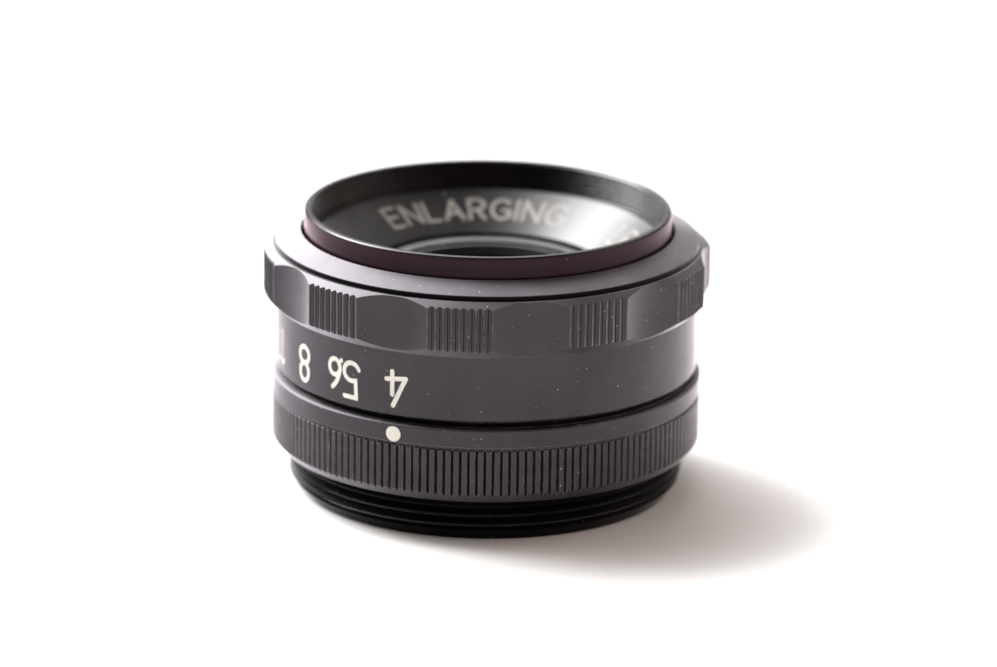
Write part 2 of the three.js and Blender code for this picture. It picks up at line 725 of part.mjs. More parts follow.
function apertureRing() {
  const bore = TUBE_RADIUS + RUN;
  const edge = 0.15;
  const body = turned([
    [bore, APERTURE_FOOT_Z],
    [FOOT_RADIUS, APERTURE_FOOT_Z],
    [FOOT_RADIUS + 0.1, SKIRT_BOTTOM],
    [SKIRT_RADIUS - edge, SKIRT_BOTTOM],
    [SKIRT_RADIUS, SKIRT_BOTTOM + edge],
    [SKIRT_RADIUS, SKIRT_TOP],
    [GRIP_RADIUS, GRIP_BOTTOM],
    [GRIP_RADIUS, GRIP_TOP],
    [LEDGE_OUTER, LEDGE_Z],
    [CONE_OUTER, LEDGE_Z],
    [CONE_OUTER, CONE_BOTTOM],
    [CONE_INNER, CONE_TOP],
    [CONE_INNER, APERTURE_STEP_Z],
    [bore, APERTURE_STEP_Z],
    [bore, RELIEF_TOP + RELIEF_SLOPE],
    [RELIEF_RADIUS, RELIEF_TOP],
    [RELIEF_RADIUS, RELIEF_BOTTOM],
    [bore, RELIEF_BOTTOM - RELIEF_SLOPE],
  ]);
  return cut(body, [
    ...scallopCutters(),
    ...landGrooves(),
    ...clickDimples(),
    spoke(DRIVE_SHANK + RUN, bore - 1, 22, DRIVE_ANGLE, DRIVE_Z),
    spoke(DRIVE_HEAD + RUN, DRIVE_HEAD_FROM - RUN, 22, DRIVE_ANGLE, DRIVE_Z),
  ]);
}
piece("aperture_ring", apertureRing(), BLACK_ANODISED);

function driveScrew() {
  const screw = join([
    spoke(DRIVE_SHANK, DRIVE_TIP, DRIVE_HEAD_FROM + RUN, DRIVE_ANGLE, DRIVE_Z),
    spoke(DRIVE_HEAD, DRIVE_HEAD_FROM, DRIVE_HEAD_TO, DRIVE_ANGLE, DRIVE_Z),
  ]);
  const slot = bar(DRIVE_HEAD_TO - 0.4, 22, 0.3, DRIVE_Z - 2, DRIVE_Z + 2, DRIVE_ANGLE);
  return cut(screw, [slot]);
}
piece("drive_screw", driveScrew(), STEEL);

// ---------------------------------------------------------------- click stop

const clickAt = polar(CLICK_CIRCLE, CLICK_ANGLE);

const ball = new THREE.SphereGeometry(BALL_RADIUS, 10, 8).rotateX(Math.PI / 2);
piece("click_ball", closed(ball.translate(clickAt.x, clickAt.y, BALL_Z)), STEEL);

/** The centre line of the coil spring under the ball. */
class CoilPath extends THREE.Curve {
  getPoint(t, target = new THREE.Vector3()) {
    const radius = BALL_HOLE - FIT - 2 * SPRING_WIRE;
    const low = SPRING_BOTTOM + SPRING_WIRE;
    const high = BALL_Z - BALL_RADIUS - FIT - SPRING_WIRE;
    const angle = t * SPRING_TURNS * 2 * Math.PI;
    const height = low + t * (high - low);
    return target.set(
      clickAt.x + radius * Math.cos(angle),
      clickAt.y + radius * Math.sin(angle),
      height,
    );
  }
}

function clickSpring() {
  const wire = new THREE.Shape();
  for (let i = 0; i < 5; i += 1) {
    const corner = polar(SPRING_WIRE, i * 72);
    if (i === 0) {
      wire.moveTo(corner.x, corner.y);
    } else {
      wire.lineTo(corner.x, corner.y);
    }
  }
  wire.closePath();
  const options = { steps: 9 * SPRING_TURNS, extrudePath: new CoilPath(), bevelEnabled: false };
  return closed(new THREE.ExtrudeGeometry(wire, options));
}
piece("click_spring", clickSpring(), STEEL);

// ---------------------------------------------------------------- rear cell

const REAR_SEAT = faceHeight(REAR_VERTEX, REAR_CURVE, REAR_CLEAR);

piece("rear_cell", turned([
  [REAR_CELL_THREAD, REAR_CELL_BOTTOM],
  [REAR_CELL_RADIUS, REAR_CELL_BOTTOM],
  [REAR_CELL_RADIUS, WEB_BOTTOM - FIT],
  [WEB_BORE - FIT, WEB_BOTTOM - FIT],
  [WEB_BORE - FIT, WEB_TOP - RUN],
  [REAR_CELL_FLARE, WEB_TOP - RUN],
  [REAR_CELL_STOP, REAR_CELL_FLARE_Z],
  [REAR_CELL_STOP, REAR_FRONT + FIT],
  [REAR_RADIUS + FIT, REAR_FRONT + FIT],
  [REAR_RADIUS + FIT, REAR_SEAT],
  [REAR_CELL_THREAD, REAR_SEAT],
], INNER_SEGMENTS), INNER_BLACK);

piece("rear_pair_front", turned([
  [0, REAR_FRONT],
  [REAR_RADIUS, REAR_FRONT],
  ...facePoints(CEMENT_VERTEX, CEMENT_CURVE, REAR_RADIUS).reverse(),
], INNER_SEGMENTS), GLASS);

piece("rear_pair_back", turned([
  ...facePoints(CEMENT_VERTEX - FIT, CEMENT_CURVE, REAR_RADIUS),
  [REAR_RADIUS, REAR_SEAT],
  ...facePoints(REAR_VERTEX, REAR_CURVE, REAR_CLEAR).reverse(),
], INNER_SEGMENTS), GLASS);

piece("rear_retainer", cut(turned([
  [REAR_CLEAR + FIT, REAR_RETAINER_BOTTOM],
  [REAR_CELL_THREAD - FIT, REAR_RETAINER_BOTTOM],
  [REAR_CELL_THREAD - FIT, REAR_SEAT - FIT],
  [REAR_CLEAR + FIT, REAR_SEAT - FIT],
], INNER_SEGMENTS), spannerSlots(6, 9, 4, REAR_RETAINER_BOTTOM + 0.6)), INNER_BLACK);

export default lens;
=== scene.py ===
"""Looks of an enlarging lens: fine surfaces, lettering, materials, light and camera on the CAD frame."""
import math

import bmesh
import bpy
import numpy as np
from mathutils import Matrix, Vector


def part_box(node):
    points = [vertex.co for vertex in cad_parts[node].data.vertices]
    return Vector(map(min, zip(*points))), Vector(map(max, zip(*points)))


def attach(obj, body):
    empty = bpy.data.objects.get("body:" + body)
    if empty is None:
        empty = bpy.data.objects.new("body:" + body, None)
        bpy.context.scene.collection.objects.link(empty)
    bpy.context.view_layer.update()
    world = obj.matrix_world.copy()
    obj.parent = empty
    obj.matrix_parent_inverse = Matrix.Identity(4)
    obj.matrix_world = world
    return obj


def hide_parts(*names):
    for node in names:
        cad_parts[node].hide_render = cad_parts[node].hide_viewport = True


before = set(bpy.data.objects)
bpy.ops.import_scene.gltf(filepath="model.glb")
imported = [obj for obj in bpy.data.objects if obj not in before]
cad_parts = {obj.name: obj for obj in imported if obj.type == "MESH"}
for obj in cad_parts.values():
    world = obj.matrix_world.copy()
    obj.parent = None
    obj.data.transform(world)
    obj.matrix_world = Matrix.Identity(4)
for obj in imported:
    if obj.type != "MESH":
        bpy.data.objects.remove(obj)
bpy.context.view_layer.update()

# ---- sizes
# Lengths are in millimetres and angles in degrees; SCALLOP_HALF and BLADE_STEP are in radians.

MM = 0.001
FINE = 288          # steps round a turned piece
ROUNDING = 0.07     # how far a corner is cut back
CORNER_POINTS = 4   # points on the small arc of a corner
SHARP = 32          # a surface that bends more than this has an edge

# Polar angles run anticlockwise from +X. The index line is a little left of the front.
INDEX_ANGLE = -90 - 24.7
STOP_ANGLE = 16.8
FILTER_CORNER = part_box("filter_ring")[1]
FILTER_RADIUS = FILTER_CORNER.x / MM
LENS_TOP = FILTER_CORNER.z / MM

# Barrel, from the rear rim to the front thread.
THREAD_PITCH = 25.4 / 26
THREAD_DEPTH = 0.6
THREAD_ROOT = 18.9
THREAD_FIRST_CREST = 1.85
THREAD_LOW = 0.706
THREAD_HIGH = 4.0
RUN_OUT_END = 3.75
RUN_OUT_LENGTH = 0.45
RIM_OUTER = 18.4
RIM_INNER = 17.2
LEAD_IN_RISE = 1.2
LEAD_IN_WIDTH = 0.85
BODY_RADIUS = 19.55
BODY_BOTTOM = 4.75
COLLAR_RADIUS = 20.3
COLLAR_BOTTOM = 11.15
COLLAR_TOP = 11.9
TUBE_RADIUS = 17.4
TUBE_SHOULDER = 23.7
FRONT_THREAD_RADIUS = 16.95
BARREL_TOP = 25.2
NAME_BORE = 16.35
NAME_STEP = 23.05
TUBE_BORE = 15.3
WEB_TOP = 11.3
WEB_BORE = 10.85
WEB_BOTTOM = 9.55

# Index ring.
INDEX_RADIUS = 21.23
INDEX_BORE = 19.65
RIDGES = 168
RIDGE_DEPTH = 0.3
RIDGE_HALF_FLAT = 0.21
RIDGE_SOFTNESS = 0.022
RIDGE_LIP = 0.025
RIDGE_ROOT_LIFTS = (0.035, 0.012, 0.035)
FLANGE_RADIUS = 20.45
FLANGE_Z = 4.45
KNURL_RISE = 0.95
KNURL_TOP = 9.75
KNURL_GROOVE = 0.25
BAND_BOTTOM = 10.1
BAND_TOP = 11.75
DOT_RADIUS = 0.79
DOT_Z = 10.85
GRUB_SCREW_ANGLES = (30, 150)
GRUB_SCREW_Z = 7.6

# Aperture ring, with its click stop and its drive screw.
SKIRT_RADIUS = 20.8
SKIRT_BOTTOM = 12.55
SKIRT_TOP = 19.0
APERTURE_BORE = 17.5
APERTURE_FOOT_Z = 12.3
FOOT_RADIUS = 20.2
GRIP_RADIUS = 22.1
GRIP_TOP = 24.1
GRIP_CHAMFER = 1.1
BROW_WIDTH = 0.9
LEDGE_RADIUS = 21.2
LEDGE_Z = 24.7
CONE_OUTER = 20.87
CONE_BOTTOM = 25.2
CONE_INNER = 18.45
CONE_TOP = 26.12
SHELF_Z = 23.6
RELIEF_RADIUS = 18.6
RELIEF_BOTTOM = 17.0
RELIEF_TOP = 21.6
RELIEF_SLOPE = 0.6
SCALLOPS = 10
SCALLOP_STEP = 360 / SCALLOPS
SCALLOP_FLOOR = 21.25
SCALLOP_HALF = math.radians(9.7)
GROOVES = 8
GROOVE_PITCH = 0.78
GROOVE_RADIUS = 0.456
GROOVE_DEPTH = 0.22
TIP_CUT = 0.012
DIGIT_DEPTH = 0.12
BALL_TRAVEL = 0.2
DIMPLE_RADIUS = 0.65
DRIVE_ANGLE = 60
DRIVE_Z = 14.4

# Filter ring and name ring.
FILTER_BORE = 17.25
FILTER_PITCH = 0.5
FILTER_THREAD_DEPTH = 0.24
FILTER_THREAD_LOW = 25.45
FILTER_THREAD_HIGH = 28.0
NAME_OUTER = 16.3
NAME_OUTER_Z = 25.5
NAME_INNER = 11.3
NAME_INNER_Z = 22.35

# Iris.
BLADES = 8
BLADE_STEP = 2 * math.pi / BLADES
BLADES_BOTTOM = 12.15
BLADE_LEVEL = 0.2
BLADE_THICKNESS = 0.12
BLADE_INNER = 5.5
BLADE_OUTER = 9.4
BLADE_TIP = 112
PIVOT_CIRCLE = 12.0
STUD_ARM = 6.0
STUD_ANGLE = 92.3
STUD_RADIUS = 0.35
EAR_RADIUS = 0.85


# ---- mesh helpers

def rounded(profile, rounding=ROUNDING, closed=True):
    """A [radius, height] outline with each corner replaced by a small arc of CORNER_POINTS points."""
    points = [np.array(point, float) for point in profile]
    count = len(points)
    outline = []
    for i, corner in enumerate(points):
        if not closed and i in (0, count - 1):
            outline.append(corner)
            continue
        before = points[i - 1] - corner
        after = points[(i + 1) % count] - corner
        reach_before = min(rounding, 0.4 * np.linalg.norm(before))
        reach_after = min(rounding, 0.4 * np.linalg.norm(after))
        start = corner + before / np.linalg.norm(before) * reach_before
        end = corner + after / np.linalg.norm(after) * reach_after
        for t in np.linspace(0, 1, CORNER_POINTS):
            outline.append((1 - t) ** 2 * start + 2 * t * (1 - t) * corner + t ** 2 * end)
    return np.array(outline)


SAME_PLACE = 2e-7   # metres between points that count as one


def new_object(name, data):
    """A new object in the scene."""
    thing = bpy.data.objects.new(name, data)
    bpy.context.scene.collection.objects.link(thing)
    return thing


def object_from(name, points, faces):
    """Points and faces as a closed, outward-facing object without doubled points."""
    mesh = bpy.data.meshes.new(name)
    mesh.from_pydata((np.asarray(points) * MM).tolist(), [], faces)
    thing = new_object(name, mesh)
    shape = bmesh.new()
    shape.from_mesh(mesh)
    bmesh.ops.remove_doubles(shape, verts=shape.verts, dist=SAME_PLACE)
    bmesh.ops.recalc_face_normals(shape, faces=shape.faces)
    shape.to_mesh(mesh)
    shape.free()
    shade(thing)
    return thing


def shade(thing):
    """Smooth shading that stays crisp where the surface bends more than SHARP."""
    thing.data.shade_smooth()
    thing.data.set_sharp_from_angle(angle=math.radians(SHARP))


def grid_faces(columns, rows, wrap_columns, wrap_rows):
    """Four-sided faces over a grid whose points are stored column by column."""
    column = np.arange(columns if wrap_columns else columns - 1)[:, None]
    row = np.arange(rows if wrap_rows else rows - 1)[None, :]
    next_column = (column + 1) % columns
    next_row = (row + 1) % rows
    corners = [column * rows + row, next_column * rows + row,
               next_column * rows + next_row, column * rows + next_row]
    return np.stack(np.broadcast_arrays(*corners), axis=-1).reshape(-1, 4).tolist()


def round_angles(steps):
    """Even angles in radians, once round."""
    return np.linspace(0, 2 * math.pi, steps, endpoint=False)


def ring_grid(angles, outlines, wrap_rows=True):
    """Points and faces of a ring from one [radius, height] outline for each angle in radians."""
    outlines = np.asarray(outlines)
    angles = np.asarray(angles)[:, None]
    points = np.stack([outlines[..., 0] * np.cos(angles), outlines[..., 0] * np.sin(angles),
                       outlines[..., 1]], axis=-1)
    return points.reshape(-1, 3), grid_faces(*outlines.shape[:2], True, wrap_rows)


def turned_grid(outline, steps, wrap_rows):
    """Points and faces of one [radius, height] outline turned about +Z."""
    return ring_grid(round_angles(steps), np.repeat(np.asarray(outline)[None], steps, axis=0), wrap_rows)


def block(inner, outer, low, high):
    """A four-cornered outline."""
    return [(inner, low), (outer, low), (outer, high), (inner, high)]


def turned(name, profile, rounding=ROUNDING, steps=FINE):
    """A piece turned about +Z with small radii on its edges; a glass starts and ends on the axis."""
    closed = profile[0][0] != 0
    return object_from(name, *turned_grid(rounded(profile, rounding, closed), steps, closed))


def helix(profile_radius, start, pitch, low, high, rows_per_turn=16):
    """Points and faces of a screw thread between two heights; the rows climb with the thread."""
    first = math.floor((low - start) / pitch - 1) * rows_per_turn
    last = math.ceil((high - start) / pitch) * rows_per_turn
    rows = np.arange(first, last + 1)
    turn = np.linspace(0, 1, FINE + 1)[:, None]
    phase = rows[None, :] / rows_per_turn
    height = np.clip(start + pitch * (phase + turn), low, high)
    local = (height - start) / pitch - turn
    reach = profile_radius(local % 1, height)
    angle = 2 * math.pi * turn
    points = np.stack([reach * np.cos(angle), reach * np.sin(angle), height], axis=-1)
    return points.reshape(-1, 3), grid_faces(FINE + 1, len(rows), False, False)


def thread_shape(phase, pitch, depth):
    """Height of a 60 degree thread above its root, with narrow flats at the crest and the root."""
    flat = pitch / 8
    from_crest = np.abs(phase - 0.5) * pitch
    slope = depth / (pitch / 2 - flat)
    return np.clip(depth - (from_crest - flat / 2) * slope, 0, depth)


def threaded(name, outline, thread):
    """A ring whose outline is left open where a screw thread closes it."""
    points, faces = turned_grid(outline, FINE, False)
    shifted = [[corner + len(points) for corner in face] for face in thread[1]]
    return object_from(name, np.concatenate([points, thread[0]]), faces + shifted)


def box(name, size, centre):
    """A box, to cut with."""
    corners = [[(x - 0.5) * size[0], (y - 0.5) * size[1], (z - 0.5) * size[2]]
               for x in (0, 1) for y in (0, 1) for z in (0, 1)]
    faces = [(0, 1, 3, 2), (4, 6, 7, 5), (0, 4, 5, 1), (2, 3, 7, 6), (0, 2, 6, 4), (1, 5, 7, 3)]
    return object_from(name, np.array(corners) + np.array(centre), faces)


def spoke(name, outline, degrees, height, steps=48):
    """A piece turned about a line that points outwards; its outline is [radius, distance out]."""
    thing = turned(name, outline, 0.04, steps)
    place = Matrix.Rotation(math.radians(degrees), 4, "Z") @ Matrix.Translation((0, 0, height * MM))
    thing.data.transform(place @ Matrix.Rotation(math.pi / 2, 4, "Y"))
    return thing


def sphere(name, size, centre):
    """A ball of a given radius round a centre in metres."""
    half_circle = [(size * math.sin(a), -size * math.cos(a)) for a in np.linspace(0, math.pi, 24)]
    ball = object_from(name, *turned_grid(half_circle, 48, False))
    ball.data.transform(Matrix.Translation(centre))
    return ball


def combine(thing, tools, operation):
    """Cuts tools out of a closed piece, or joins them to it, and deletes the tools."""
    for tool in tools:
        step = thing.modifiers.new("combine", "BOOLEAN")
        step.operation = operation
        step.solver = "MANIFOLD"
        step.object = tool
        bpy.context.view_layer.update()
        evaluated = thing.evaluated_get(bpy.context.evaluated_depsgraph_get())
        mesh = bpy.data.meshes.new_from_object(evaluated)
        thing.modifiers.clear()
        thing.data = mesh
        bpy.data.objects.remove(tool)
    shade(thing)
    return thing


def even_normals(mesh):
    """Normals led by the broad faces: the faces that meet smoothly at a corner count by their area."""
    vertex = np.empty(len(mesh.loops), int)
    mesh.loops.foreach_get("vertex_index", vertex)
    sides = np.empty(len(mesh.polygons), int)
    mesh.polygons.foreach_get("loop_total", sides)
    area = np.empty(len(sides))
    mesh.polygons.foreach_get("area", area)
    facing = np.empty(3 * len(sides))
    mesh.polygons.foreach_get("normal", facing)
    facing = np.repeat(facing.reshape(-1, 3), sides, axis=0)
    weight = np.repeat(area, sides)[:, None]
    order = np.argsort(vertex, kind="stable")
    count = np.bincount(vertex)
    first = np.cumsum(count) - count
    place = np.empty(len(vertex), int)
    place[order] = np.arange(len(vertex)) - first[vertex[order]]
    total = np.zeros_like(facing)
    for step in range(count.max()):
        mine = np.flatnonzero(step < count[vertex])
        owner = vertex[mine]
        other = order[first[owner] + (place[mine] + step) % count[owner]]
        smooth = (facing[mine] * facing[other]).sum(axis=1) > math.cos(math.radians(SHARP))
        total[mine] += facing[other] * weight[other] * smooth[:, None]
    total /= np.linalg.norm(total, axis=1)[:, None]
    mesh.normals_split_custom_set(total.tolist())


def show(thing, body, material, *nodes):
    """Finishes a piece: its material, its body and the CAD nodes it stands for."""
    thing.data.materials.clear()
    thing.data.materials.append(MATERIALS[material])
    even_normals(thing.data)
    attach(thing, body)
    if nodes:
        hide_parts(*nodes)


def second_look(thing, material, chosen):
    """Gives another material to the faces chosen by radius, height and angle in radians."""
    thing.data.materials.append(MATERIALS[material])
    for polygon in thing.data.polygons:
        centre = polygon.center / MM
        if chosen(math.hypot(centre.x, centre.y), centre.z, math.atan2(centre.y, centre.x)):
            polygon.material_index = 1


# ---- lettering

STROKE = 0.48


def arc(centre, across, up, start, end, steps=14):
    """Points along part of an oval; the angles are in degrees, anticlockwise from the right."""
    turn = np.radians(np.linspace(start, end, steps))
    return [(centre[0] + across * math.cos(a), centre[1] + up * math.sin(a)) for a in turn]


def loop(centre, across, up, start=-90, steps=13):
    """A whole oval as two strokes that meet end to end."""
    return [arc(centre, across, up, start + half, start + half + 180, steps) for half in (0, 180)]


def sheet(line, width):
    """A flat stroke of even width with round ends: its points and faces."""
    line = np.array(line, float)
    ahead = np.gradient(line, axis=0)
    reach = np.full(len(line), width / 2)
    for i in range(1, len(line) - 1):
        before = (line[i] - line[i - 1]) / np.linalg.norm(line[i] - line[i - 1])
        after = (line[i + 1] - line[i]) / np.linalg.norm(line[i + 1] - line[i])
        ahead[i] = before + after
        reach[i] = width / max(np.linalg.norm(before + after), 1.2)
    ahead /= np.linalg.norm(ahead, axis=1)[:, None]
    side = np.stack([-ahead[:, 1], ahead[:, 0]], axis=-1) * reach[:, None]
    points = list(line + side) + list(line - side)
    count = len(line)
    faces = [(i, i + 1, count + i + 1, count + i) for i in range(count - 1)]
    for end, sign in ((0, -1), (count - 1, 1)):
        around = np.radians(np.linspace(90, -90, 9)[1:-1])
        cap = [line[end] + sign * ahead[end] * width / 2 * math.cos(a) + side[end] * math.sin(a)
               for a in around]
        ring = [end] + list(range(len(points), len(points) + len(cap))) + [count + end]
        points += cap
        faces.append(tuple(ring))
    return points, faces


def stroke(name, line, width, low, high, place):
    """One stroke as a closed solid between two depths, laid on a surface by place(x, y, depth)."""
    points, faces = sheet(line, width)
    count = len(points)
    solid = [place(x, y, low) for x, y in points] + [place(x, y, high) for x, y in points]
    sides = {}
    for face in faces:
        for a, b in zip(face, face[1:] + face[:1]):
            sides[tuple(sorted((a, b)))] = None if tuple(sorted((a, b))) in sides else (a, b)
    walls = [(a, b, b + count, a + count) for a, b in (edge for edge in sides.values() if edge)]
    under = [tuple(reversed(face)) for face in faces]
    over = [tuple(corner + count for corner in face) for face in faces]
    thing = object_from(name, solid, under + over + walls)
    shape = bmesh.new()
    shape.from_mesh(thing.data)
    bmesh.ops.triangulate(shape, faces=shape.faces)
    shape.to_mesh(thing.data)
    shape.free()
    return thing


def lettering(name, lines, width, low, high, place):
    """Every stroke of a text as one closed solid."""
    strokes = [stroke(f"{name}_{i}", line, width, low, high, place) for i, line in enumerate(lines)]
    whole = strokes[0]
    whole.name = name
    combine(whole, strokes[1:], "UNION")
    return whole


def engrave(ring, name, lines, width, cut, paint, place):
    """Cuts a text into a ring between two depths, and gives the paint that lies in the cut."""
    combine(ring, [lettering("cut", lines, width, *cut, place)], "DIFFERENCE")
    return lettering(name, lines, width - 0.02, *paint, place)


def moved(lines, across):
    """The same strokes further along the line of text."""
    return [[(x + across, y) for x, y in line] for line in lines]


# Digits of the aperture scale: strokes from the cap line at 0 down to the base line at -BASE.
BASE = 3.42
DIGIT_4 = [[(-0.1, -0.02), (-1.42, -2.82)], [(-1.42, -2.82), (0.62, -2.6)], [(0, -1.1), (0, -BASE)]]
DIGIT_5 = [[(1.5, 0), (0.02, 0), (0.1, -1.72)] + arc((0.6, -2.55), 0.95, 0.9, 112, -160, 20)[1:]]
SMALL_6 = loop((0.75, -BASE + 0.8), 0.72, 0.8, -250) + [
    [(1.05, -0.55), (0.62, -1.0), (0.3, -1.5), (0.1, -2.05), (0.03, -2.62)],
]
DIGIT_8 = loop((0.85, -0.9), 0.78, 0.9, 0) + loop((0.85, -2.61), 0.85, 0.81, 0)
DIGIT_1 = [[(0.05, -0.62), (0.6, -0.05), (0.6, -BASE)]]
DIGIT_6 = loop((0.85, -BASE + 0.95), 0.82, 0.95, -250) + [
    [(1.3, 0), (0.8, -0.6), (0.38, -1.25), (0.1, -1.9), (0.03, -2.47)],
]
POINT = [[(0, -BASE + 0.02), (0, -BASE)]]
SCALE = [
    (DIGIT_4, 0.35),
    (DIGIT_5 + moved(POINT, 1.92) + moved(SMALL_6, 2.08), -1.65),
    (DIGIT_8, -0.85),
    (DIGIT_1 + moved(DIGIT_1, 1.35), -1.0),
    (DIGIT_1 + moved(DIGIT_6, 1.3), -1.5),
]
DIGIT_TOP_Z = 13.55

# Capitals of the name ring, 1 high, with the width of each.
LETTERS = {
    "E": (0.55, [[(0.55, 1), (0, 1), (0, 0), (0.55, 0)], [(0, 0.52), (0.48, 0.52)]]),
    "N": (0.68, [[(0, 0), (0, 1)], [(0, 1), (0.68, 0)], [(0.68, 0), (0.68, 1)]]),
    "L": (0.5, [[(0, 1), (0, 0), (0.5, 0)]]),
    "A": (0.74, [[(0, 0), (0.37, 1)], [(0.37, 1), (0.74, 0)], [(0.14, 0.33), (0.6, 0.33)]]),
    "R": (0.58, [[(0, 0), (0, 1), (0.3, 1)] + arc((0.3, 0.74), 0.27, 0.26, 80, -90, 10)
                 + [(0.02, 0.48)], [(0.28, 0.48), (0.6, 0)]]),
    "G": (0.74, [arc((0.4, 0.5), 0.38, 0.5, 45, 330, 22), [(0.45, 0.45), (0.74, 0.45), (0.74, 0.12)]]),
    "I": (0.0, [[(0, 0), (0, 1)]]),
    "S": (0.54, [arc((0.27, 0.75), 0.25, 0.25, 30, 250, 12)
                 + arc((0.27, 0.25), 0.27, 0.25, 80, -150, 14)]),
    "5": (0.52, [[(0.5, 1), (0.05, 1), (0.03, 0.56)] + arc((0.24, 0.32), 0.28, 0.32, 110, -150, 14)]),
    "0": (0.56, loop((0.28, 0.5), 0.28, 0.5)),
    "1": (0.2, [[(0, 0.8), (0.2, 1), (0.2, 0)]]),
    "4": (0.6, [[(0.42, 1), (0, 0.3), (0.6, 0.3)], [(0.44, 0.55), (0.44, 0)]]),
    ":": (0.0, [[(0, 0.2), (0, 0.22)], [(0, 0.7), (0, 0.72)]]),
    "m": (0.8, [[(0, 0), (0, 0.66)], [(0, 0.5)] + arc((0.2, 0.46), 0.2, 0.2, 150, 0, 8) + [(0.4, 0)],
                [(0.4, 0.5)] + arc((0.6, 0.46), 0.2, 0.2, 150, 0, 8) + [(0.8, 0)]]),
    " ": (0.35, []),
}


def text_lines(text, height, gap):
    """The strokes of a text that starts at 0."""
    lines = []
    along = 0.0
    for letter in text:
        width, strokes = LETTERS[letter]
        for line in strokes:
            lines.append([(along + x * height, y * height) for x, y in line])
        along += width * height + gap
    return lines


# ---- material helpers

class Nodes:
    """Builds a node tree one short call at a time."""

    def __init__(self, tree):
        self.tree = tree
        tree.nodes.clear()

    def add(self, kind, inputs=(), **settings):
        """Adds a node; an input is a value or another node's output, by input name or number."""
        node = self.tree.nodes.new("ShaderNode" + kind)
        for key, value in settings.items():
            setattr(node, key, value)
        for key, value in dict(inputs).items():
            self.set(node.inputs[key], value)
        return node

    def set(self, socket, value):
        """Links or fills one input; a node stands for its first output."""
        if isinstance(value, bpy.types.Node):
            value = value.outputs[0]
        if isinstance(value, bpy.types.NodeSocket):
            self.tree.links.new(value, socket)
        else:
            socket.default_value = value

    def math(self, operation, *values):
        """A maths node's result."""
        return self.add("Math", dict(enumerate(values)), operation=operation).outputs[0]

    def noise(self, vector, scale, detail):
        """A noise value around 0.5."""
        return self.add("TexNoise", {"Vector": vector, "Scale": scale, "Detail": detail}).outputs["Fac"]

    def between(self, value, low, high, to_low=0.0, to_high=1.0):
        """A value mapped from one range to another and held inside it."""
        return self.add("MapRange", {"Value": value, 1: low, 2: high, 3: to_low, 4: to_high}).outputs[0]

    def mix(self, share, first, second):
        """A mix of two colours."""
        return self.add("Mix", {0: share, 6: first, 7: second}, data_type="RGBA").outputs[2]


def new_material(name):
    """A node material, its builder and the place on the piece."""
    material = bpy.data.materials.new(name)
    material.use_nodes = True
    nodes = Nodes(material.node_tree)
    return material, nodes, nodes.add("TexCoord").outputs["Object"]


def finished(material, nodes, kind, inputs):
    """The material, with its last shader connected to the output."""
    nodes.add("OutputMaterial", {"Surface": nodes.add(kind, inputs)})
    return material


def turned_coordinates(nodes, place):
    """(radius, height, 0): the coordinates that follow the marks of a lathe."""
    split = nodes.add("SeparateXYZ", {0: place})
    flat = nodes.add("CombineXYZ", {0: split.outputs[0], 1: split.outputs[1]})
    out = nodes.add("VectorMath", {0: flat}, operation="LENGTH")
    return nodes.add("CombineXYZ", {0: out.outputs["Value"], 1: split.outputs[2]})


def dust_mask(nodes, place, spacing, share, size):
    """1 inside a few small round specks, 0 elsewhere."""
    cells = nodes.add("TexVoronoi", {"Vector": place, "Scale": 1 / (spacing * MM)})
    chance = nodes.add("SeparateColor", {0: cells.outputs["Color"]})
    chosen = nodes.math("LESS_THAN", chance, share)
    reach = nodes.math("MULTIPLY", chance.outputs[1], size / spacing)
    speck = nodes.math("LESS_THAN", cells.outputs["Distance"], reach)
    return nodes.math("MULTIPLY", chosen, speck)


GRAIN = 0.3


def lathe_relief(nodes, place, lines):
    """Fine grain and the marks of the lathe, as a bumped normal; and the grain itself."""
    fine = nodes.noise(place, 9000, 2.0)
    lathe = nodes.noise(turned_coordinates(nodes, place), 14000, 1.0)
    relief = nodes.math("ADD", nodes.math("MULTIPLY", fine, GRAIN), nodes.math("MULTIPLY", lathe, lines))
    bump = nodes.add("Bump", {"Height": relief, "Strength": 0.25, "Distance": 0.00001})
    return bump, fine


HAZE_SPREAD = 0.26
# Lighter colour on sharp edges: rubbed anodising, and a painted highlight along the edges.
WORN_AND_HIGHLIGHT_COLOUR = (0.35, 0.33, 0.32, 1)
DUST_COLOUR = (0.55, 0.52, 0.48, 1)


def shaded(colour, share):
    """A colour made lighter or darker, with full cover."""
    return (*[part * share for part in colour], 1)


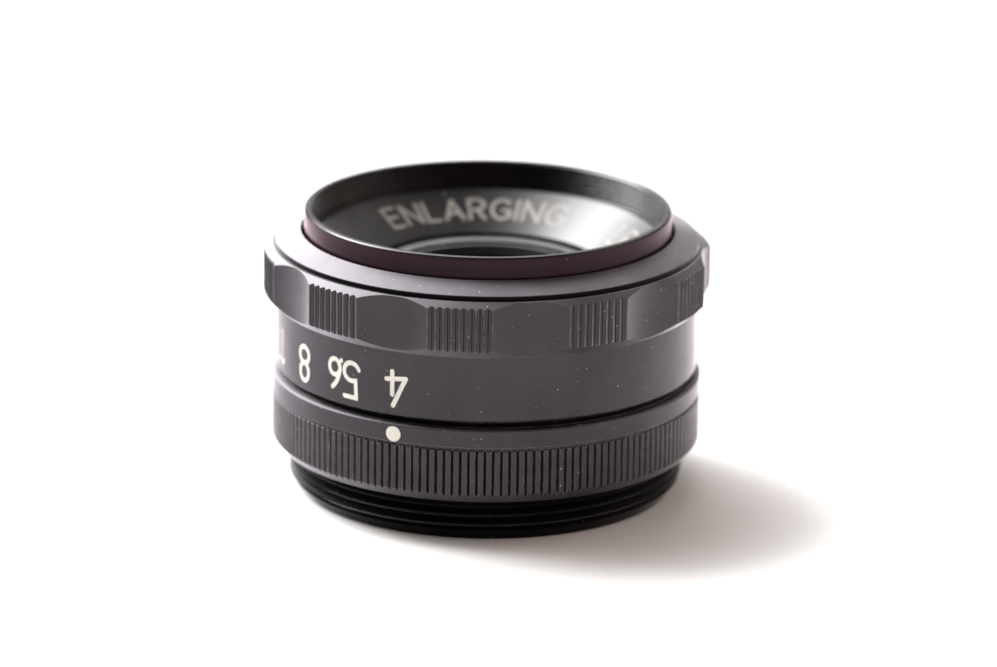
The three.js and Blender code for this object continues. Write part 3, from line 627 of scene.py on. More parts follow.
def anodised_finish(name, colour, roughness, index=1.53, lines=0.4, dust=0.03, wear_and_highlight=0.0, haze=0.6,
                    tint=(1.0, 1.0, 1.0)):
    """Anodised metal: a dark body under a satin skin that is part clear and part hazy, with dust."""
    material, nodes, place = new_material(name)
    normal, fine = lathe_relief(nodes, place, lines)
    uneven = nodes.noise(place, 180, 3.0)
    broad = nodes.noise(turned_coordinates(nodes, place), 1500, 2.0)
    specks = nodes.math("MAXIMUM", dust_mask(nodes, place, 0.9, dust, 0.08),
                        dust_mask(nodes, place, 0.4, dust, 0.045))
    gloss = nodes.math("ADD", nodes.between(uneven, 0.3, 0.7, roughness - 0.03, roughness + 0.03),
                       nodes.between(fine, 0.3, 0.7, -0.05, 0.05))
    body = nodes.mix(nodes.between(broad, 0.35, 0.65), shaded(colour, 0.85), shaded(colour, 1.15))
    # Sharp edges turn lighter: partly wear, partly a painted edge highlight.
    if wear_and_highlight:
        worn_and_highlight = nodes.math("MULTIPLY", edge_wear_and_highlight(nodes, place), wear_and_highlight)
        body = nodes.mix(worn_and_highlight, body, WORN_AND_HIGHLIGHT_COLOUR)
    body = nodes.mix(specks, body, DUST_COLOUR)
    deep = nodes.add("BsdfDiffuse", {"Color": body, "Normal": normal})
    glosses = [nodes.add("BsdfGlossy", {"Color": (*tint, 1), "Roughness": spread, "Normal": normal},
                         distribution="BECKMANN")
               for spread in (gloss, nodes.math("ADD", gloss, HAZE_SPREAD))]
    skin = nodes.add("MixShader", {0: haze, 1: glosses[0], 2: glosses[1]})
    share = nodes.add("Fresnel", {"IOR": index, "Normal": normal})
    cloudy = nodes.math("MULTIPLY", nodes.between(uneven, 0.3, 0.7, 0.88, 1.12),
                        nodes.between(fine, 0.3, 0.7, 0.85, 1.15))
    bare = nodes.math("MULTIPLY", cloudy, nodes.math("SUBTRACT", 1.0, specks))
    amount = nodes.math("MULTIPLY", share, bare)
    return finished(material, nodes, "MixShader", {0: amount, 1: deep, 2: skin})


def bare_finish(name, colour, roughness):
    """Turned steel or brass."""
    material, nodes, place = new_material(name)
    normal, fine = lathe_relief(nodes, place, 0.6)
    gloss = nodes.between(fine, 0.3, 0.7, roughness - 0.04, roughness + 0.04)
    return finished(material, nodes, "BsdfPrincipled", {
        "Base Color": (*colour, 1), "Metallic": 1.0, "Roughness": gloss, "Normal": normal})


def edge_wear_and_highlight(nodes, place):
    """Near 1 on sharp outer edges, broken up by noise: where rubbed anodising and a painted edge highlight
    go.
    """
    bevel = nodes.add("Bevel", {"Radius": 0.0001}, samples=4)
    flat = nodes.add("NewGeometry").outputs["Normal"]
    bend = nodes.add("VectorMath", {0: bevel, 1: flat}, operation="DOT_PRODUCT")
    sharpness = nodes.between(bend.outputs["Value"], 0.985, 0.90)
    patchy = nodes.between(nodes.noise(place, 900, 3.0), 0.42, 0.6, 0.3, 1.0)
    return nodes.math("MULTIPLY", sharpness, patchy)


def paint_finish(name, colour):
    """Thick paint wiped into an engraving, with faint grime."""
    material, nodes, place = new_material(name)
    grime = nodes.noise(place, 2500, 4.0)
    shade = nodes.mix(nodes.between(grime, 0.45, 0.75, 0.0, 0.35), (*colour, 1), shaded(colour, 0.62))
    bump = nodes.add("Bump", {"Height": grime, "Strength": 0.3, "Distance": 0.00002})
    return finished(material, nodes, "BsdfPrincipled", {
        "Base Color": shade, "Roughness": 0.55, "Normal": bump})


def glass_finish(name, index, film):
    """Coated optical glass with a faint smear."""
    material, nodes, place = new_material(name)
    smear = nodes.between(nodes.noise(place, 300, 4.0), 0.45, 0.8, 0.0, 0.03)
    return finished(material, nodes, "BsdfPrincipled", {
        "Base Color": (0.97, 0.98, 0.97, 1),
        "Roughness": smear,
        "Transmission Weight": 1.0,
        "IOR": index,
        "Thin Film Thickness": film,
        "Thin Film IOR": 1.38,
    })


def floor_finish(name, colour):
    """Matt white paper with hardly any grain."""
    material, nodes, place = new_material(name)
    grain = nodes.noise(place, 2500, 4.0)
    shade = nodes.mix(nodes.between(grain, 0.3, 0.7), shaded(colour, 0.99), (*colour, 1))
    return finished(material, nodes, "BsdfPrincipled", {
        "Base Color": shade, "Roughness": 0.9, "Specular IOR Level": 0.1})


ANODISED = {
    # The strong edge wear of the black finish also paints highlights along its sharp edges.
    "black_anodised": dict(colour=(0.003, 0.0015, 0.0032), roughness=0.40, wear_and_highlight=0.6, dust=0.24, haze=0.75,
                           tint=(0.985, 0.93, 1.0)),
    # A dull black finish; on the knurl, in the grip's grooves and at the cone's step it is painted shade.
    "dull_black_and_painted_shade": dict(colour=(0.0008, 0.0004, 0.001), roughness=0.5, index=1.14, lines=0.1, dust=0.04),
    "thread_black": dict(colour=(0.0008, 0.0004, 0.0012), roughness=0.24, index=1.36, haze=0.12, dust=0.0),
    "purple_anodised": dict(colour=(0.015, 0.006, 0.009), roughness=0.33, index=1.22, lines=0.6, haze=0.3,
                            tint=(1.0, 0.82, 0.88)),
    "name_plate": dict(colour=(0.0008, 0.0007, 0.0007), roughness=0.40, index=1.38, haze=0.08),
    "inner_black": dict(colour=(0.002, 0.0018, 0.0025), roughness=0.6, index=1.12, dust=0.01),
    "blade_steel": dict(colour=(0.01, 0.01, 0.011), roughness=0.4, lines=0.1, dust=0.0),
}
MATERIALS = {name: anodised_finish(name, **look) for name, look in ANODISED.items()}
MATERIALS |= {
    "steel": bare_finish("steel", (0.35, 0.34, 0.33), 0.3),
    "brass": bare_finish("brass", (0.55, 0.38, 0.14), 0.3),
    "glass": glass_finish("glass", 1.62, 95.0),
    "scale_paint": paint_finish("scale_paint", (0.64, 0.61, 0.55)),
    "name_paint": paint_finish("name_paint", (0.17, 0.155, 0.14)),
    "floor": floor_finish("floor", (0.60, 0.60, 0.60)),
}


# ---- barrel and thread

def mounting_thread(phase, height):
    """Radius of the 39 mm thread, with a chamfered start and a run-out below the flange."""
    fade = np.clip((RUN_OUT_END - height) / RUN_OUT_LENGTH, 0, 1)
    chamfer = RIM_OUTER + height * LEAD_IN_WIDTH / LEAD_IN_RISE
    crest = THREAD_ROOT + thread_shape(phase, THREAD_PITCH, THREAD_DEPTH) * fade
    return np.minimum(crest, np.maximum(chamfer, THREAD_ROOT))


def build_barrel():
    """The barrel: rear rim, mounting thread, collar, tube and the web that holds the iris."""
    outline = rounded([
        (THREAD_ROOT, THREAD_HIGH), (THREAD_ROOT, BODY_BOTTOM), (BODY_RADIUS, BODY_BOTTOM),
        (BODY_RADIUS, COLLAR_BOTTOM), (COLLAR_RADIUS, COLLAR_BOTTOM), (COLLAR_RADIUS, COLLAR_TOP),
        (TUBE_RADIUS, COLLAR_TOP), (TUBE_RADIUS, TUBE_SHOULDER), (FRONT_THREAD_RADIUS, TUBE_SHOULDER),
        (FRONT_THREAD_RADIUS, BARREL_TOP), (NAME_BORE, BARREL_TOP), (NAME_BORE, NAME_STEP),
        (TUBE_BORE, NAME_STEP), (TUBE_BORE, WEB_TOP), (WEB_BORE, WEB_TOP), (WEB_BORE, WEB_BOTTOM),
        (RIM_INNER, WEB_BOTTOM), (RIM_INNER, 0), (RIM_OUTER, 0), (THREAD_ROOT, THREAD_LOW),
    ], closed=False)
    start = THREAD_FIRST_CREST - THREAD_PITCH / 4
    thread = helix(mounting_thread, start, THREAD_PITCH, THREAD_LOW, THREAD_HIGH)
    barrel = threaded("barrel", outline, thread)
    slot = drive_slot()
    hole = turned("ball_hole", block(0, 0.68, 8.55, 13), 0.01, 32)
    hole.data.transform(Matrix.Translation(click_place()))
    combine(barrel, [slot, hole], "DIFFERENCE")
    show(barrel, "barrel", "black_anodised", "lens_barrel")
    # Below 5 mm the thread and the rear rim take the dull black material, so the barrel is darker towards the
    # bottom.
    second_look(barrel, "dull_black_and_painted_shade", lambda out, height, turn: height < 5)


def click_place():
    """Centre of the click ball's hole, seen from above."""
    low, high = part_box("click_ball")
    return Vector(((low.x + high.x) / 2, (low.y + high.y) / 2, 0))


def drive_slot():
    """The arc slot in the barrel wall for the drive screw."""
    angles = np.radians(np.linspace(57.2, 130, 40))
    section = block(14.3, 18.4, 13.75, 15.05)
    points = [(r * math.cos(a), r * math.sin(a), z) for a in angles for r, z in section]
    faces = grid_faces(len(angles), len(section), False, True)
    last = len(points) - 4
    faces += [(3, 2, 1, 0), (last, last + 1, last + 2, last + 3)]
    return object_from("drive_slot", points, faces)


# ---- index ring

def ridge_points():
    """(angle, reach) across one ridge of the knurl, with softened corners."""
    pitch = 2 * math.pi / RIDGES
    root = INDEX_RADIUS - RIDGE_DEPTH
    flat = RIDGE_HALF_FLAT / INDEX_RADIUS
    soft = RIDGE_SOFTNESS / INDEX_RADIUS
    crest = [(-flat - soft, INDEX_RADIUS - RIDGE_LIP), (-flat + soft, INDEX_RADIUS),
             (flat - soft, INDEX_RADIUS), (flat + soft, INDEX_RADIUS - RIDGE_LIP)]
    valley = [(pitch / 2 + side * 2 * soft, root + lift)
              for side, lift in zip((-1, 0, 1), RIDGE_ROOT_LIFTS)]
    return crest + valley


def build_index_ring():
    """The index ring with its straight knurl, its two grub screw holes and the white dot."""
    pitch = 2 * math.pi / RIDGES
    angles = []
    outlines = []
    for i in range(RIDGES):
        for offset, limit in ridge_points():
            angles.append((i + 0.5) * pitch + offset)
            outlines.append(index_outline(limit))
    ring = object_from("index_ring_fine", *ring_grid(angles, outlines))
    recess = spoke("dot_recess", block(0, DOT_RADIUS, 21.06, 22), INDEX_ANGLE, DOT_Z)
    holes = [spoke(f"screw_hole_{angle}", block(0, 0.68, 19, 22), angle, GRUB_SCREW_Z)
             for angle in GRUB_SCREW_ANGLES]
    combine(ring, [recess] + holes, "DIFFERENCE")
    show(ring, "barrel", "black_anodised", "index_ring")
    # The knurl's flanks and valleys take the dull black material: painted shade between the ridges.
    second_look(ring, "dull_black_and_painted_shade", lambda out, height, turn: 5.2 < height < 9.7 and out < INDEX_RADIUS - 0.2)
    rim = DOT_RADIUS - 0.01
    dot = spoke("index_dot", [(0, 21.0), (rim, 21.0), (rim, 21.2), (0, 21.215)], INDEX_ANGLE, DOT_Z)
    show(dot, "barrel", "scale_paint")


def index_outline(limit):
    """Outline of the index ring where its ridged part reaches out to a limit."""
    low = FLANGE_Z + (limit - FLANGE_RADIUS) / (INDEX_RADIUS - FLANGE_RADIUS) * KNURL_RISE
    groove = INDEX_RADIUS - KNURL_GROOVE
    return rounded([
        (INDEX_BORE, FLANGE_Z), (FLANGE_RADIUS, FLANGE_Z), (limit, low), (limit, KNURL_TOP),
        (min(limit, groove), KNURL_TOP + 0.05), (groove, BAND_BOTTOM - 0.05), (INDEX_RADIUS, BAND_BOTTOM),
        (INDEX_RADIUS, BAND_TOP), (21.08, COLLAR_TOP), (20.4, COLLAR_TOP), (20.4, 11.1), (INDEX_BORE, 11.1),
    ], 0.05)


# ---- aperture ring

def circle_reach(centre, circle, offset):
    """Distance out to a circle whose centre is at a distance and an angle offset."""
    return centre * math.cos(offset) - math.sqrt(circle ** 2 - (centre * math.sin(offset)) ** 2)


def grip_columns():
    """[angle, reach] round the grip: a ridged land and a scallop, ten times."""
    columns = []
    chord = GRIP_RADIUS * math.sin(SCALLOP_HALF)
    depth = GRIP_RADIUS * math.cos(SCALLOP_HALF) - SCALLOP_FLOOR
    circle = (depth ** 2 + chord ** 2) / (2 * depth)
    groove_step = GROOVE_PITCH / GRIP_RADIUS
    groove_centre = GRIP_RADIUS + GROOVE_RADIUS - GROOVE_DEPTH
    for i in range(SCALLOPS):
        middle = math.radians(INDEX_ANGLE + i * SCALLOP_STEP)
        for part in np.linspace(-1, 1, 25):
            offset = part * SCALLOP_HALF
            columns.append((middle + offset, circle_reach(SCALLOP_FLOOR + circle, circle, offset)))
        land = middle + math.radians(SCALLOP_STEP / 2)
        for groove in range(GROOVES):
            centre = land + (groove - (GROOVES - 1) / 2) * groove_step
            for part in np.linspace(-0.5, 0.5, 10)[0 if groove == 0 else 1:]:
                offset = part * groove_step
                reach = circle_reach(groove_centre, GROOVE_RADIUS, offset * 0.9995)
                columns.append((centre + offset, min(reach, GRIP_RADIUS - TIP_CUT)))
    return columns


def aperture_outline(reach):
    """Outline of the aperture ring where its grip reaches out to a given radius."""
    share = (reach - SKIRT_RADIUS) / (GRIP_RADIUS - SKIRT_RADIUS)
    shoulder = SKIRT_TOP + share * GRIP_CHAMFER
    brow = GRIP_TOP + (GRIP_RADIUS - reach) / BROW_WIDTH * (LEDGE_Z - GRIP_TOP)
    return rounded([
        (APERTURE_BORE, APERTURE_FOOT_Z), (FOOT_RADIUS, APERTURE_FOOT_Z),
        (FOOT_RADIUS + 0.1, SKIRT_BOTTOM), (SKIRT_RADIUS - 0.15, SKIRT_BOTTOM),
        (SKIRT_RADIUS, SKIRT_BOTTOM + 0.15), (SKIRT_RADIUS, SKIRT_TOP), (reach, shoulder), (reach, brow),
        (LEDGE_RADIUS, LEDGE_Z), (CONE_OUTER, LEDGE_Z), (CONE_OUTER, CONE_BOTTOM),
        (CONE_INNER, CONE_TOP), (CONE_INNER, SHELF_Z), (APERTURE_BORE, SHELF_Z),
        (APERTURE_BORE, RELIEF_TOP + RELIEF_SLOPE), (RELIEF_RADIUS, RELIEF_TOP),
        (RELIEF_RADIUS, RELIEF_BOTTOM), (APERTURE_BORE, RELIEF_BOTTOM - RELIEF_SLOPE),
    ], 0.06)


def scale_place(angle):
    """Lays the digits on the skirt: they read with their heads towards the rear of the lens."""
    def place(x, y, depth):
        turn = math.radians(angle) - x / SKIRT_RADIUS
        return (depth * math.cos(turn), depth * math.sin(turn), DIGIT_TOP_Z - y)
    return place


def in_shade(out, height, turn):
    """Whether a place on the aperture ring gets painted shade: the step round the cone or the bottom of a
    groove.
    """
    if 24.6 < height < 25.1:
        return 20.8 < out < 21.15
    from_land = (math.degrees(turn) - INDEX_ANGLE) % SCALLOP_STEP - SCALLOP_STEP / 2
    across = math.radians(from_land) * GRIP_RADIUS / GROOVE_PITCH + GROOVES / 2
    on_land = 0 < across < GROOVES and 19.6 < height < 24.4
    return on_land and abs(across % 1 - 0.5) < 0.1


def click_dimples():
    """Cutters for the hollows that the click ball springs into, one for each stop."""
    low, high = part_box("click_ball")
    centre = (low + high) / 2 + Vector((0, 0, BALL_TRAVEL * MM))
    turns = [Matrix.Rotation(math.radians(-i * STOP_ANGLE), 3, "Z") for i in range(len(SCALE))]
    return [sphere(f"click_dimple_{i}", DIMPLE_RADIUS, turn @ centre) for i, turn in enumerate(turns)]


def build_aperture_ring():
    """The aperture ring: skirt with painted digits, grip with scallops and ridged lands, and cone."""
    columns = grip_columns()
    ring = object_from("aperture_ring_fine", *ring_grid(
        [angle for angle, _ in columns], [aperture_outline(reach) for _, reach in columns]))
    floor = SKIRT_RADIUS - DIGIT_DEPTH
    for i, (lines, start) in enumerate(SCALE):
        mark = engrave(ring, f"scale_mark_{i + 1}", moved(lines, start), STROKE, (floor, SKIRT_RADIUS + 0.4),
                       (floor - 0.03, SKIRT_RADIUS - 0.03), scale_place(INDEX_ANGLE - i * STOP_ANGLE))
        show(mark, "aperture", "scale_paint")
    head = spoke("screw_head_hole", block(0, 1.1, 19.5, 22), DRIVE_ANGLE, DRIVE_Z)
    shank = spoke("screw_shank_hole", block(0, 0.65, 16.5, 20), DRIVE_ANGLE, DRIVE_Z)
    combine(ring, [head, shank] + click_dimples(), "DIFFERENCE")
    show(ring, "aperture", "black_anodised", "aperture_ring")
    second_look(ring, "dull_black_and_painted_shade", in_shade)


# ---- filter ring and name ring

def filter_thread(phase, height):
    """Radius of the inner filter thread, which fades out at both ends."""
    start = np.clip((height - 25.5) / 0.3, 0, 1)
    end = np.clip((FILTER_THREAD_HIGH - height) / 0.1, 0, 1)
    return FILTER_BORE + thread_shape(phase, FILTER_PITCH, FILTER_THREAD_DEPTH) * start * end


def build_filter_ring():
    """The front ring, purple outside and black inside, with the filter thread."""
    lip = 0.17
    seat = FILTER_BORE - 0.2
    outline = rounded([
        (FILTER_BORE, FILTER_THREAD_LOW), (FILTER_BORE, 25.35), (seat, 25.25), (seat, 23.75),
        (FILTER_RADIUS, 23.75), (FILTER_RADIUS, LENS_TOP - lip), (FILTER_RADIUS - lip, LENS_TOP),
        (FILTER_BORE + 0.2, LENS_TOP), (FILTER_BORE, FILTER_THREAD_HIGH),
    ], 0.08, closed=False)
    thread = helix(filter_thread, FILTER_THREAD_LOW, FILTER_PITCH, FILTER_THREAD_LOW, FILTER_THREAD_HIGH,
                   rows_per_turn=10)
    ring = threaded("filter_ring_fine", outline, thread)
    show(ring, "barrel", "purple_anodised", "filter_ring")
    second_look(ring, "thread_black",
                lambda out, height, turn: out < FILTER_BORE + 0.3 or height > LENS_TOP - 0.15)


NAME_HEIGHT = 2.55
NAME_STROKE = 0.42
NAME_RADIUS = 13.9


def name_place(angle):
    """Lays text on the cone of the name ring, with its heads towards the rim."""
    slope = math.atan2(NAME_OUTER_Z - NAME_INNER_Z, NAME_OUTER - NAME_INNER)

    def place(x, y, depth):
        turn = math.radians(angle) - x / NAME_RADIUS
        out = NAME_RADIUS - NAME_HEIGHT * 0.45 * math.cos(slope) + y * math.cos(slope)
        height = NAME_INNER_Z + (out - NAME_INNER) * math.tan(slope)
        out -= depth * math.sin(slope)
        height += depth * math.cos(slope)
        return (out * math.cos(turn), out * math.sin(turn), height)
    return place


def build_name_ring():
    """The dished ring round the front glass, with its engraved and painted words."""
    foot = NAME_STEP + 0.05
    ring = turned("name_ring_fine", [
        (NAME_OUTER, foot), (NAME_OUTER, NAME_OUTER_Z), (NAME_INNER, NAME_INNER_Z),
        (NAME_INNER, NAME_INNER_Z - 0.5), (15.35, 24.0), (15.35, foot),
    ], 0.06)
    texts = [("ENLARGING", 135.5), ("LENS", 25.0), ("50 mm", -52.0), ("1:4", -118.0)]
    for i, (text, angle) in enumerate(texts):
        mark = engrave(ring, f"name_mark_{i + 1}", text_lines(text, NAME_HEIGHT, 0.72), NAME_STROKE,
                       (-0.12, 0.3), (-0.14, -0.03), name_place(angle))
        show(mark, "barrel", "name_paint")
    show(ring, "barrel", "name_plate", "name_ring")


# ---- cells and glass

def face_height(vertex, curve, out):
    """Height of a spherical lens face; a positive curve bulges towards +Z."""
    return vertex - math.copysign(abs(curve) - math.sqrt(curve ** 2 - out ** 2), curve)


def face_points(vertex, curve, clear, steps=20):
    """[radius, height] points across a lens face, from the axis outwards."""
    return [(out, face_height(vertex, curve, out)) for out in np.linspace(0, clear, steps)]


def lens_element(name, top_face, bottom_face, edge, edge_top, edge_bottom):
    """A glass with two [vertex, curve, clear radius] faces and a ground, blackened edge."""
    profile = face_points(*top_face) + [(edge, edge_top), (edge, edge_bottom)]
    profile += reversed(face_points(*bottom_face))
    glass = object_from(f"{name}_glass", *turned_grid(profile, 96, False))
    show(glass, "barrel", "glass", name)
    second_look(glass, "inner_black", lambda out, height, turn: out > edge - 0.45)


def spanner_slots(inner, outer, low, high):
    """Two cutters across a ring for a pin spanner."""
    middle = (inner + outer) / 2
    size = (outer - inner, 1.0, high - low)
    return [box(f"slot_{side}", size, (side * middle, 0, (low + high) / 2)) for side in (1, -1)]


def inner_ring(node, profile, slots=()):
    """A black ring inside the barrel in place of a CAD node."""
    ring = turned(f"{node}_fine", profile)
    combine(ring, slots, "DIFFERENCE")
    show(ring, "barrel", "inner_black", node)


def build_front_cell():
    """The front cell with its two glasses, the spacer between them and the retainer."""
    front_edge = face_height(21.8, 19.5, 8.1)
    second_top = face_height(16.7, -23.7, 7.0)
    second_seat = face_height(15.5, 16.6, 6.6) - 0.05
    inner_ring("front_cell", [
        (15.2, 16.0), (15.2, 18.2), (10.9, 18.2), (10.9, 22.0), (9.6, 22.0), (9.6, front_edge),
        (8.65, front_edge), (8.65, 18.75), (7.65, 18.75), (7.65, second_seat), (6.7, second_seat),
        (6.7, 13.8), (8.9, 13.8), (8.9, 16.0),
    ])
    inner_ring("front_retainer", [
        (8.15, front_edge + 0.05), (9.55, front_edge + 0.05), (9.55, 21.7), (9.1, 21.7), (8.15, 20.9),
    ], spanner_slots(7, 10, 21.0, 22))
    inner_ring("element_spacer", block(7.0, 7.6, second_top + 0.05, 18.75))
    lens_element("front_element", (21.8, 19.5, 8.1), (18.8, 1e6, 8.1), 8.6, front_edge, 18.8)
    lens_element("second_element", (16.7, -23.7, 7.0), (15.5, 16.6, 6.6), 7.6, second_top,
                 second_seat + 0.05)


def build_rear_cell():
    """The rear cell with its pair of glasses and the retainer."""
    seat = face_height(5.8, -21.4, 6.7)
    inner_ring("rear_cell", [
        (8.25, 3.6), (11.6, 3.6), (11.6, 9.5), (10.8, 9.5), (10.8, 11.2), (7.4, 11.2), (6.8, 10.7),
        (6.8, 10.45), (7.45, 10.45), (7.45, seat), (8.25, seat),
    ])
    inner_ring("rear_retainer", block(6.75, 8.2, 5.2, seat - 0.05), spanner_slots(6, 9, 4, 5.8))
    lens_element("rear_pair_front", (10.4, 1e6, 7.35), (9.4, 15, 7.35), 7.4, 10.4,
                 face_height(9.4, 15, 7.4))
    lens_element("rear_pair_back", (9.35, 15, 7.35), (5.8, -21.4, 6.7), 7.4,
                 face_height(9.35, 15, 7.4), seat)


# ---- iris and screws

def extruded(name, outline, low, high):
    """A flat outline given thickness."""
    count = len(outline)
    points = [(x, y, z) for z in (low, high) for x, y in outline]
    faces = [tuple(reversed(range(count))), tuple(range(count, 2 * count))]
    faces += [(i, (i + 1) % count, (i + 1) % count + count, i + count) for i in range(count)]
    return object_from(name, points, faces)


def post(name, out, low, high, x, y):
    """A stud that stands on end."""
    thing = turned(name, block(0, out, low, high), 0.03, 32)
    thing.data.transform(Matrix.Translation((x * MM, y * MM, 0)))
    return thing


def blade_outline(stud_x, stud_y):
    """Outline of a blade at full stop: an arc with an ear round each stud."""
    tip = math.radians(BLADE_TIP)
    middle = (BLADE_INNER + BLADE_OUTER) / 2
    half = (BLADE_OUTER - BLADE_INNER) / 2
    end = (middle * math.cos(tip), middle * math.sin(tip))
    return (arc((0, 0), BLADE_INNER, BLADE_INNER, -6, BLADE_TIP, 60)
            + arc(end, half, half, BLADE_TIP + 180, BLADE_TIP, 16)[1:]
            + arc((0, 0), BLADE_OUTER, BLADE_OUTER, BLADE_TIP, 38, 40)[1:]
            + arc((stud_x, stud_y), EAR_RADIUS, EAR_RADIUS, 130, 0)
            + arc((PIVOT_CIRCLE, 0), EAR_RADIUS, EAR_RADIUS, 0, -110))


def build_blades():
    """The iris blades, each on its own level with its two studs."""
    stud_x = PIVOT_CIRCLE + STUD_ARM * math.cos(math.radians(STUD_ANGLE))
    stud_y = STUD_ARM * math.sin(math.radians(STUD_ANGLE))
    outline = blade_outline(stud_x, stud_y)
    for number in range(BLADES):
        low = BLADES_BOTTOM + BLADE_LEVEL * number
        high = low + BLADE_THICKNESS
        blade = extruded(f"iris_leaf_{number + 1}", outline, low, high)
        studs = [post("pivot", STUD_RADIUS, WEB_TOP + 0.1, high, PIVOT_CIRCLE, 0),
                 post("driver", STUD_RADIUS, low, 14.8, stud_x, stud_y)]
        combine(blade, studs, "UNION")
        blade.data.transform(Matrix.Rotation(number * BLADE_STEP, 4, "Z"))
        show(blade, f"blade_{number + 1}", "blade_steel", f"iris_blade_{number + 1}")


def build_iris_plate():
    """The pivot plate of the iris, the ring over its cam and the washer under the aperture ring."""
    plate = turned("iris_plate_fine", block(5.3, 15.2, 11.35, 12.05), 0.04)
    holes = [post(f"pivot_hole_{number}", STUD_RADIUS + 0.08, 11, 13,
                  PIVOT_CIRCLE * math.cos(number * BLADE_STEP), PIVOT_CIRCLE * math.sin(number * BLADE_STEP))
             for number in range(BLADES)]
    combine(plate, holes, "DIFFERENCE")
    show(plate, "barrel", "inner_black", "iris_plate")
    inner_ring("iris_retainer", block(13, 15.25, 15.1, 15.8))
    washer = turned("thrust_washer_fine", block(19.25, 20.1, 11.95, 12.2))
    show(washer, "barrel", "dull_black_and_painted_shade", "thrust_washer")


def slotted(name, outline, degrees, height, head, depth, width):
    """A screw that points outwards, with a slot across its head."""
    screw = spoke(name, outline, degrees, height)
    slot = box("slot", (2 * depth, width, 4), (head, 0, height))
    slot.data.transform(Matrix.Rotation(math.radians(degrees), 4, "Z"))
    return combine(screw, [slot], "DIFFERENCE")


def build_screws():
    """The grub screws of the index ring, the drive screw of the iris and the click ball."""
    head = 21.05
    outline = block(0, 0.6, 19.6, head)
    for i, angle in enumerate(GRUB_SCREW_ANGLES):
        screw = slotted(f"grub_screw_{i + 1}", outline, angle, GRUB_SCREW_Z, head, 0.3, 0.22)
        show(screw, "barrel", "steel", f"index_screw_{i + 1}")
    head = 20.65
    outline = [(0, 14.1), (0.55, 14.1), (0.55, 19.6), (1.0, 19.6), (1.0, head), (0, head)]
    screw = slotted("drive_screw_fine", outline, DRIVE_ANGLE, DRIVE_Z, head, 0.4, 0.28)
    show(screw, "aperture", "steel", "drive_screw")
    low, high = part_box("click_ball")
    ball = sphere("click_ball_fine", (high.z - low.z) / 2 / MM, (low + high) / 2)
    show(ball, "click_ball", "steel", "click_ball")


def dress_cad_nodes():
    """Materials for the CAD nodes that are shown as they are."""
    looks = {"iris_cam_ring": "brass", "click_spring": "steel"}
    for name, look in looks.items():
        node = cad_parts[name]
        node.data.materials.clear()
        node.data.materials.append(MATERIALS[look])


build_barrel()
build_index_ring()
build_aperture_ring()
build_filter_ring()
build_name_ring()
build_front_cell()
build_rear_cell()
build_blades()
build_iris_plate()
build_screws()
dress_cad_nodes()


# ---- floor, light and camera

def build_floor():
    """The white table, half its width in metres."""
    half = 4.0
    mesh = bpy.data.meshes.new("floor")
    mesh.from_pydata([(x, y, 0) for x, y in block(-half, half, -half, half)], [], [(0, 1, 2, 3)])
    floor = new_object("floor", mesh)
    floor.data.materials.append(MATERIALS["floor"])


KEY_DIRECTION = Vector((-0.570, 0.390, 0.723)).normalized()
KEY_ANGLE = 34
KEY_STRENGTH = 4.0


def toward(turn, rise):
    """Direction at an angle round from +X and an angle above the floor."""
    level = math.cos(math.radians(rise))
    return Vector((math.cos(math.radians(turn)) * level, math.sin(math.radians(turn)) * level,
                   math.sin(math.radians(rise))))


# Soft lights of the sky: direction, how narrow, how strong and what colour.
GLOWS = [
    (KEY_DIRECTION, 22, 17.0, (1.0, 1.0, 1.0)),
    (KEY_DIRECTION, 12, 7.5, (1.0, 0.98, 0.98)),
    (toward(98, 50), 16, 5.5, (1.0, 0.98, 0.97)),
    (toward(-80, 40), 6, 1.0, (1.0, 0.80, 0.68)),
    (toward(80, 12), 6, 0.6, (1.0, 0.96, 0.93)),
    (toward(0, 22), 6, 2.5, (1.0, 0.86, 0.79)),
    (toward(180, 12), 6, 0.4, (0.9, 0.95, 1.0)),
]


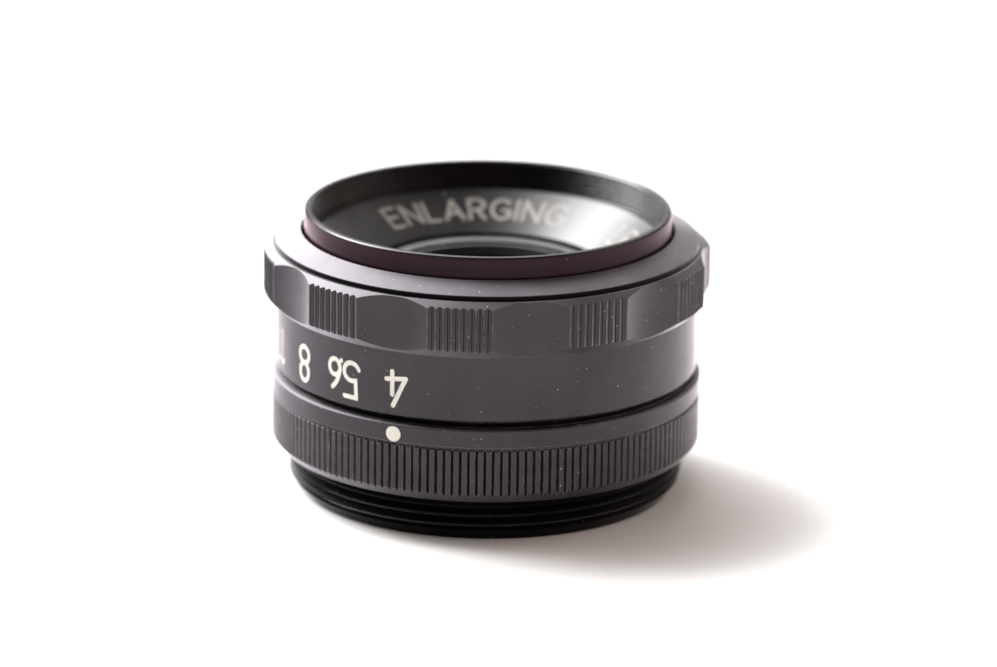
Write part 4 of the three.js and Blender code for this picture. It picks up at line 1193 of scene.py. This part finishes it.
def build_light():
    """A broad key light from the left and behind, soft glows round it and a white backdrop."""
    key = bpy.data.lights.new("key", "SUN")
    key.energy = KEY_STRENGTH
    key.angle = math.radians(KEY_ANGLE)
    lamp = new_object("key", key)
    lamp.rotation_euler = KEY_DIRECTION.to_track_quat("Z", "Y").to_euler()

    world = bpy.data.worlds.new("studio")
    world.use_nodes = True
    bpy.context.scene.world = world
    nodes = Nodes(world.node_tree)
    direction = nodes.add("TexCoord").outputs["Generated"]
    light = nodes.add("Background", {"Color": (0, 0, 0, 1)})
    for middle, spread, strength, colour in GLOWS:
        facing = nodes.add("VectorMath", {0: direction, 1: middle}, operation="DOT_PRODUCT")
        fall = nodes.math("POWER", nodes.math("MAXIMUM", facing.outputs["Value"], 0.0), spread)
        glow = nodes.add("Background", {
            "Color": (*colour, 1), "Strength": nodes.math("MULTIPLY", fall, strength)})
        light = nodes.add("AddShader", {0: light, 1: glow})
    backdrop = nodes.add("Background", {"Color": (1, 1, 1, 1), "Strength": 1.0})
    seen = nodes.add("LightPath").outputs["Is Camera Ray"]
    mixed = nodes.add("MixShader", {0: seen, 1: light, 2: backdrop})
    nodes.add("OutputWorld", {"Surface": mixed})
    bpy.context.scene.view_settings.view_transform = "Standard"


# Places and distances of the camera are in metres.
CAMERA_PLACE = Vector((0, -0.5644, 0.1870))
CAMERA_PITCH = math.radians(16.93)
CAMERA_YAW = math.radians(0.12)
CAMERA_ROLL = math.radians(0.75)
CAMERA_LENS = 215.2
CAMERA_STOP = 17
FOCUS_NEAR = 0.021


def build_camera():
    """The camera, focused on the near side of the lens from wherever it stands."""
    camera = bpy.data.cameras.new("camera")
    camera.lens = CAMERA_LENS
    camera.sensor_width = 36
    camera.clip_start = 0.01
    rig = new_object("camera", camera)
    ahead = Vector((math.sin(CAMERA_YAW) * math.cos(CAMERA_PITCH),
                    math.cos(CAMERA_YAW) * math.cos(CAMERA_PITCH), -math.sin(CAMERA_PITCH)))
    level = Vector((math.cos(CAMERA_YAW), -math.sin(CAMERA_YAW), 0))
    upright = level.cross(ahead)
    right = math.cos(CAMERA_ROLL) * level + math.sin(CAMERA_ROLL) * upright
    up = -math.sin(CAMERA_ROLL) * level + math.cos(CAMERA_ROLL) * upright
    turn = Matrix((right, up, -ahead)).transposed()
    rig.matrix_world = Matrix.Translation(CAMERA_PLACE) @ turn.to_4x4()
    bpy.context.scene.camera = rig

    middle = new_object("middle", None)
    middle.location = (0, 0, LENS_TOP / 2 * MM)
    focus = new_object("focus", None)
    follow = focus.constraints.new("COPY_LOCATION")
    follow.target = rig
    near = focus.constraints.new("LIMIT_DISTANCE")
    near.target = middle
    near.distance = FOCUS_NEAR
    camera.dof.use_dof = True
    camera.dof.focus_object = focus
    camera.dof.aperture_fstop = CAMERA_STOP


build_floor()
build_light()
build_camera()
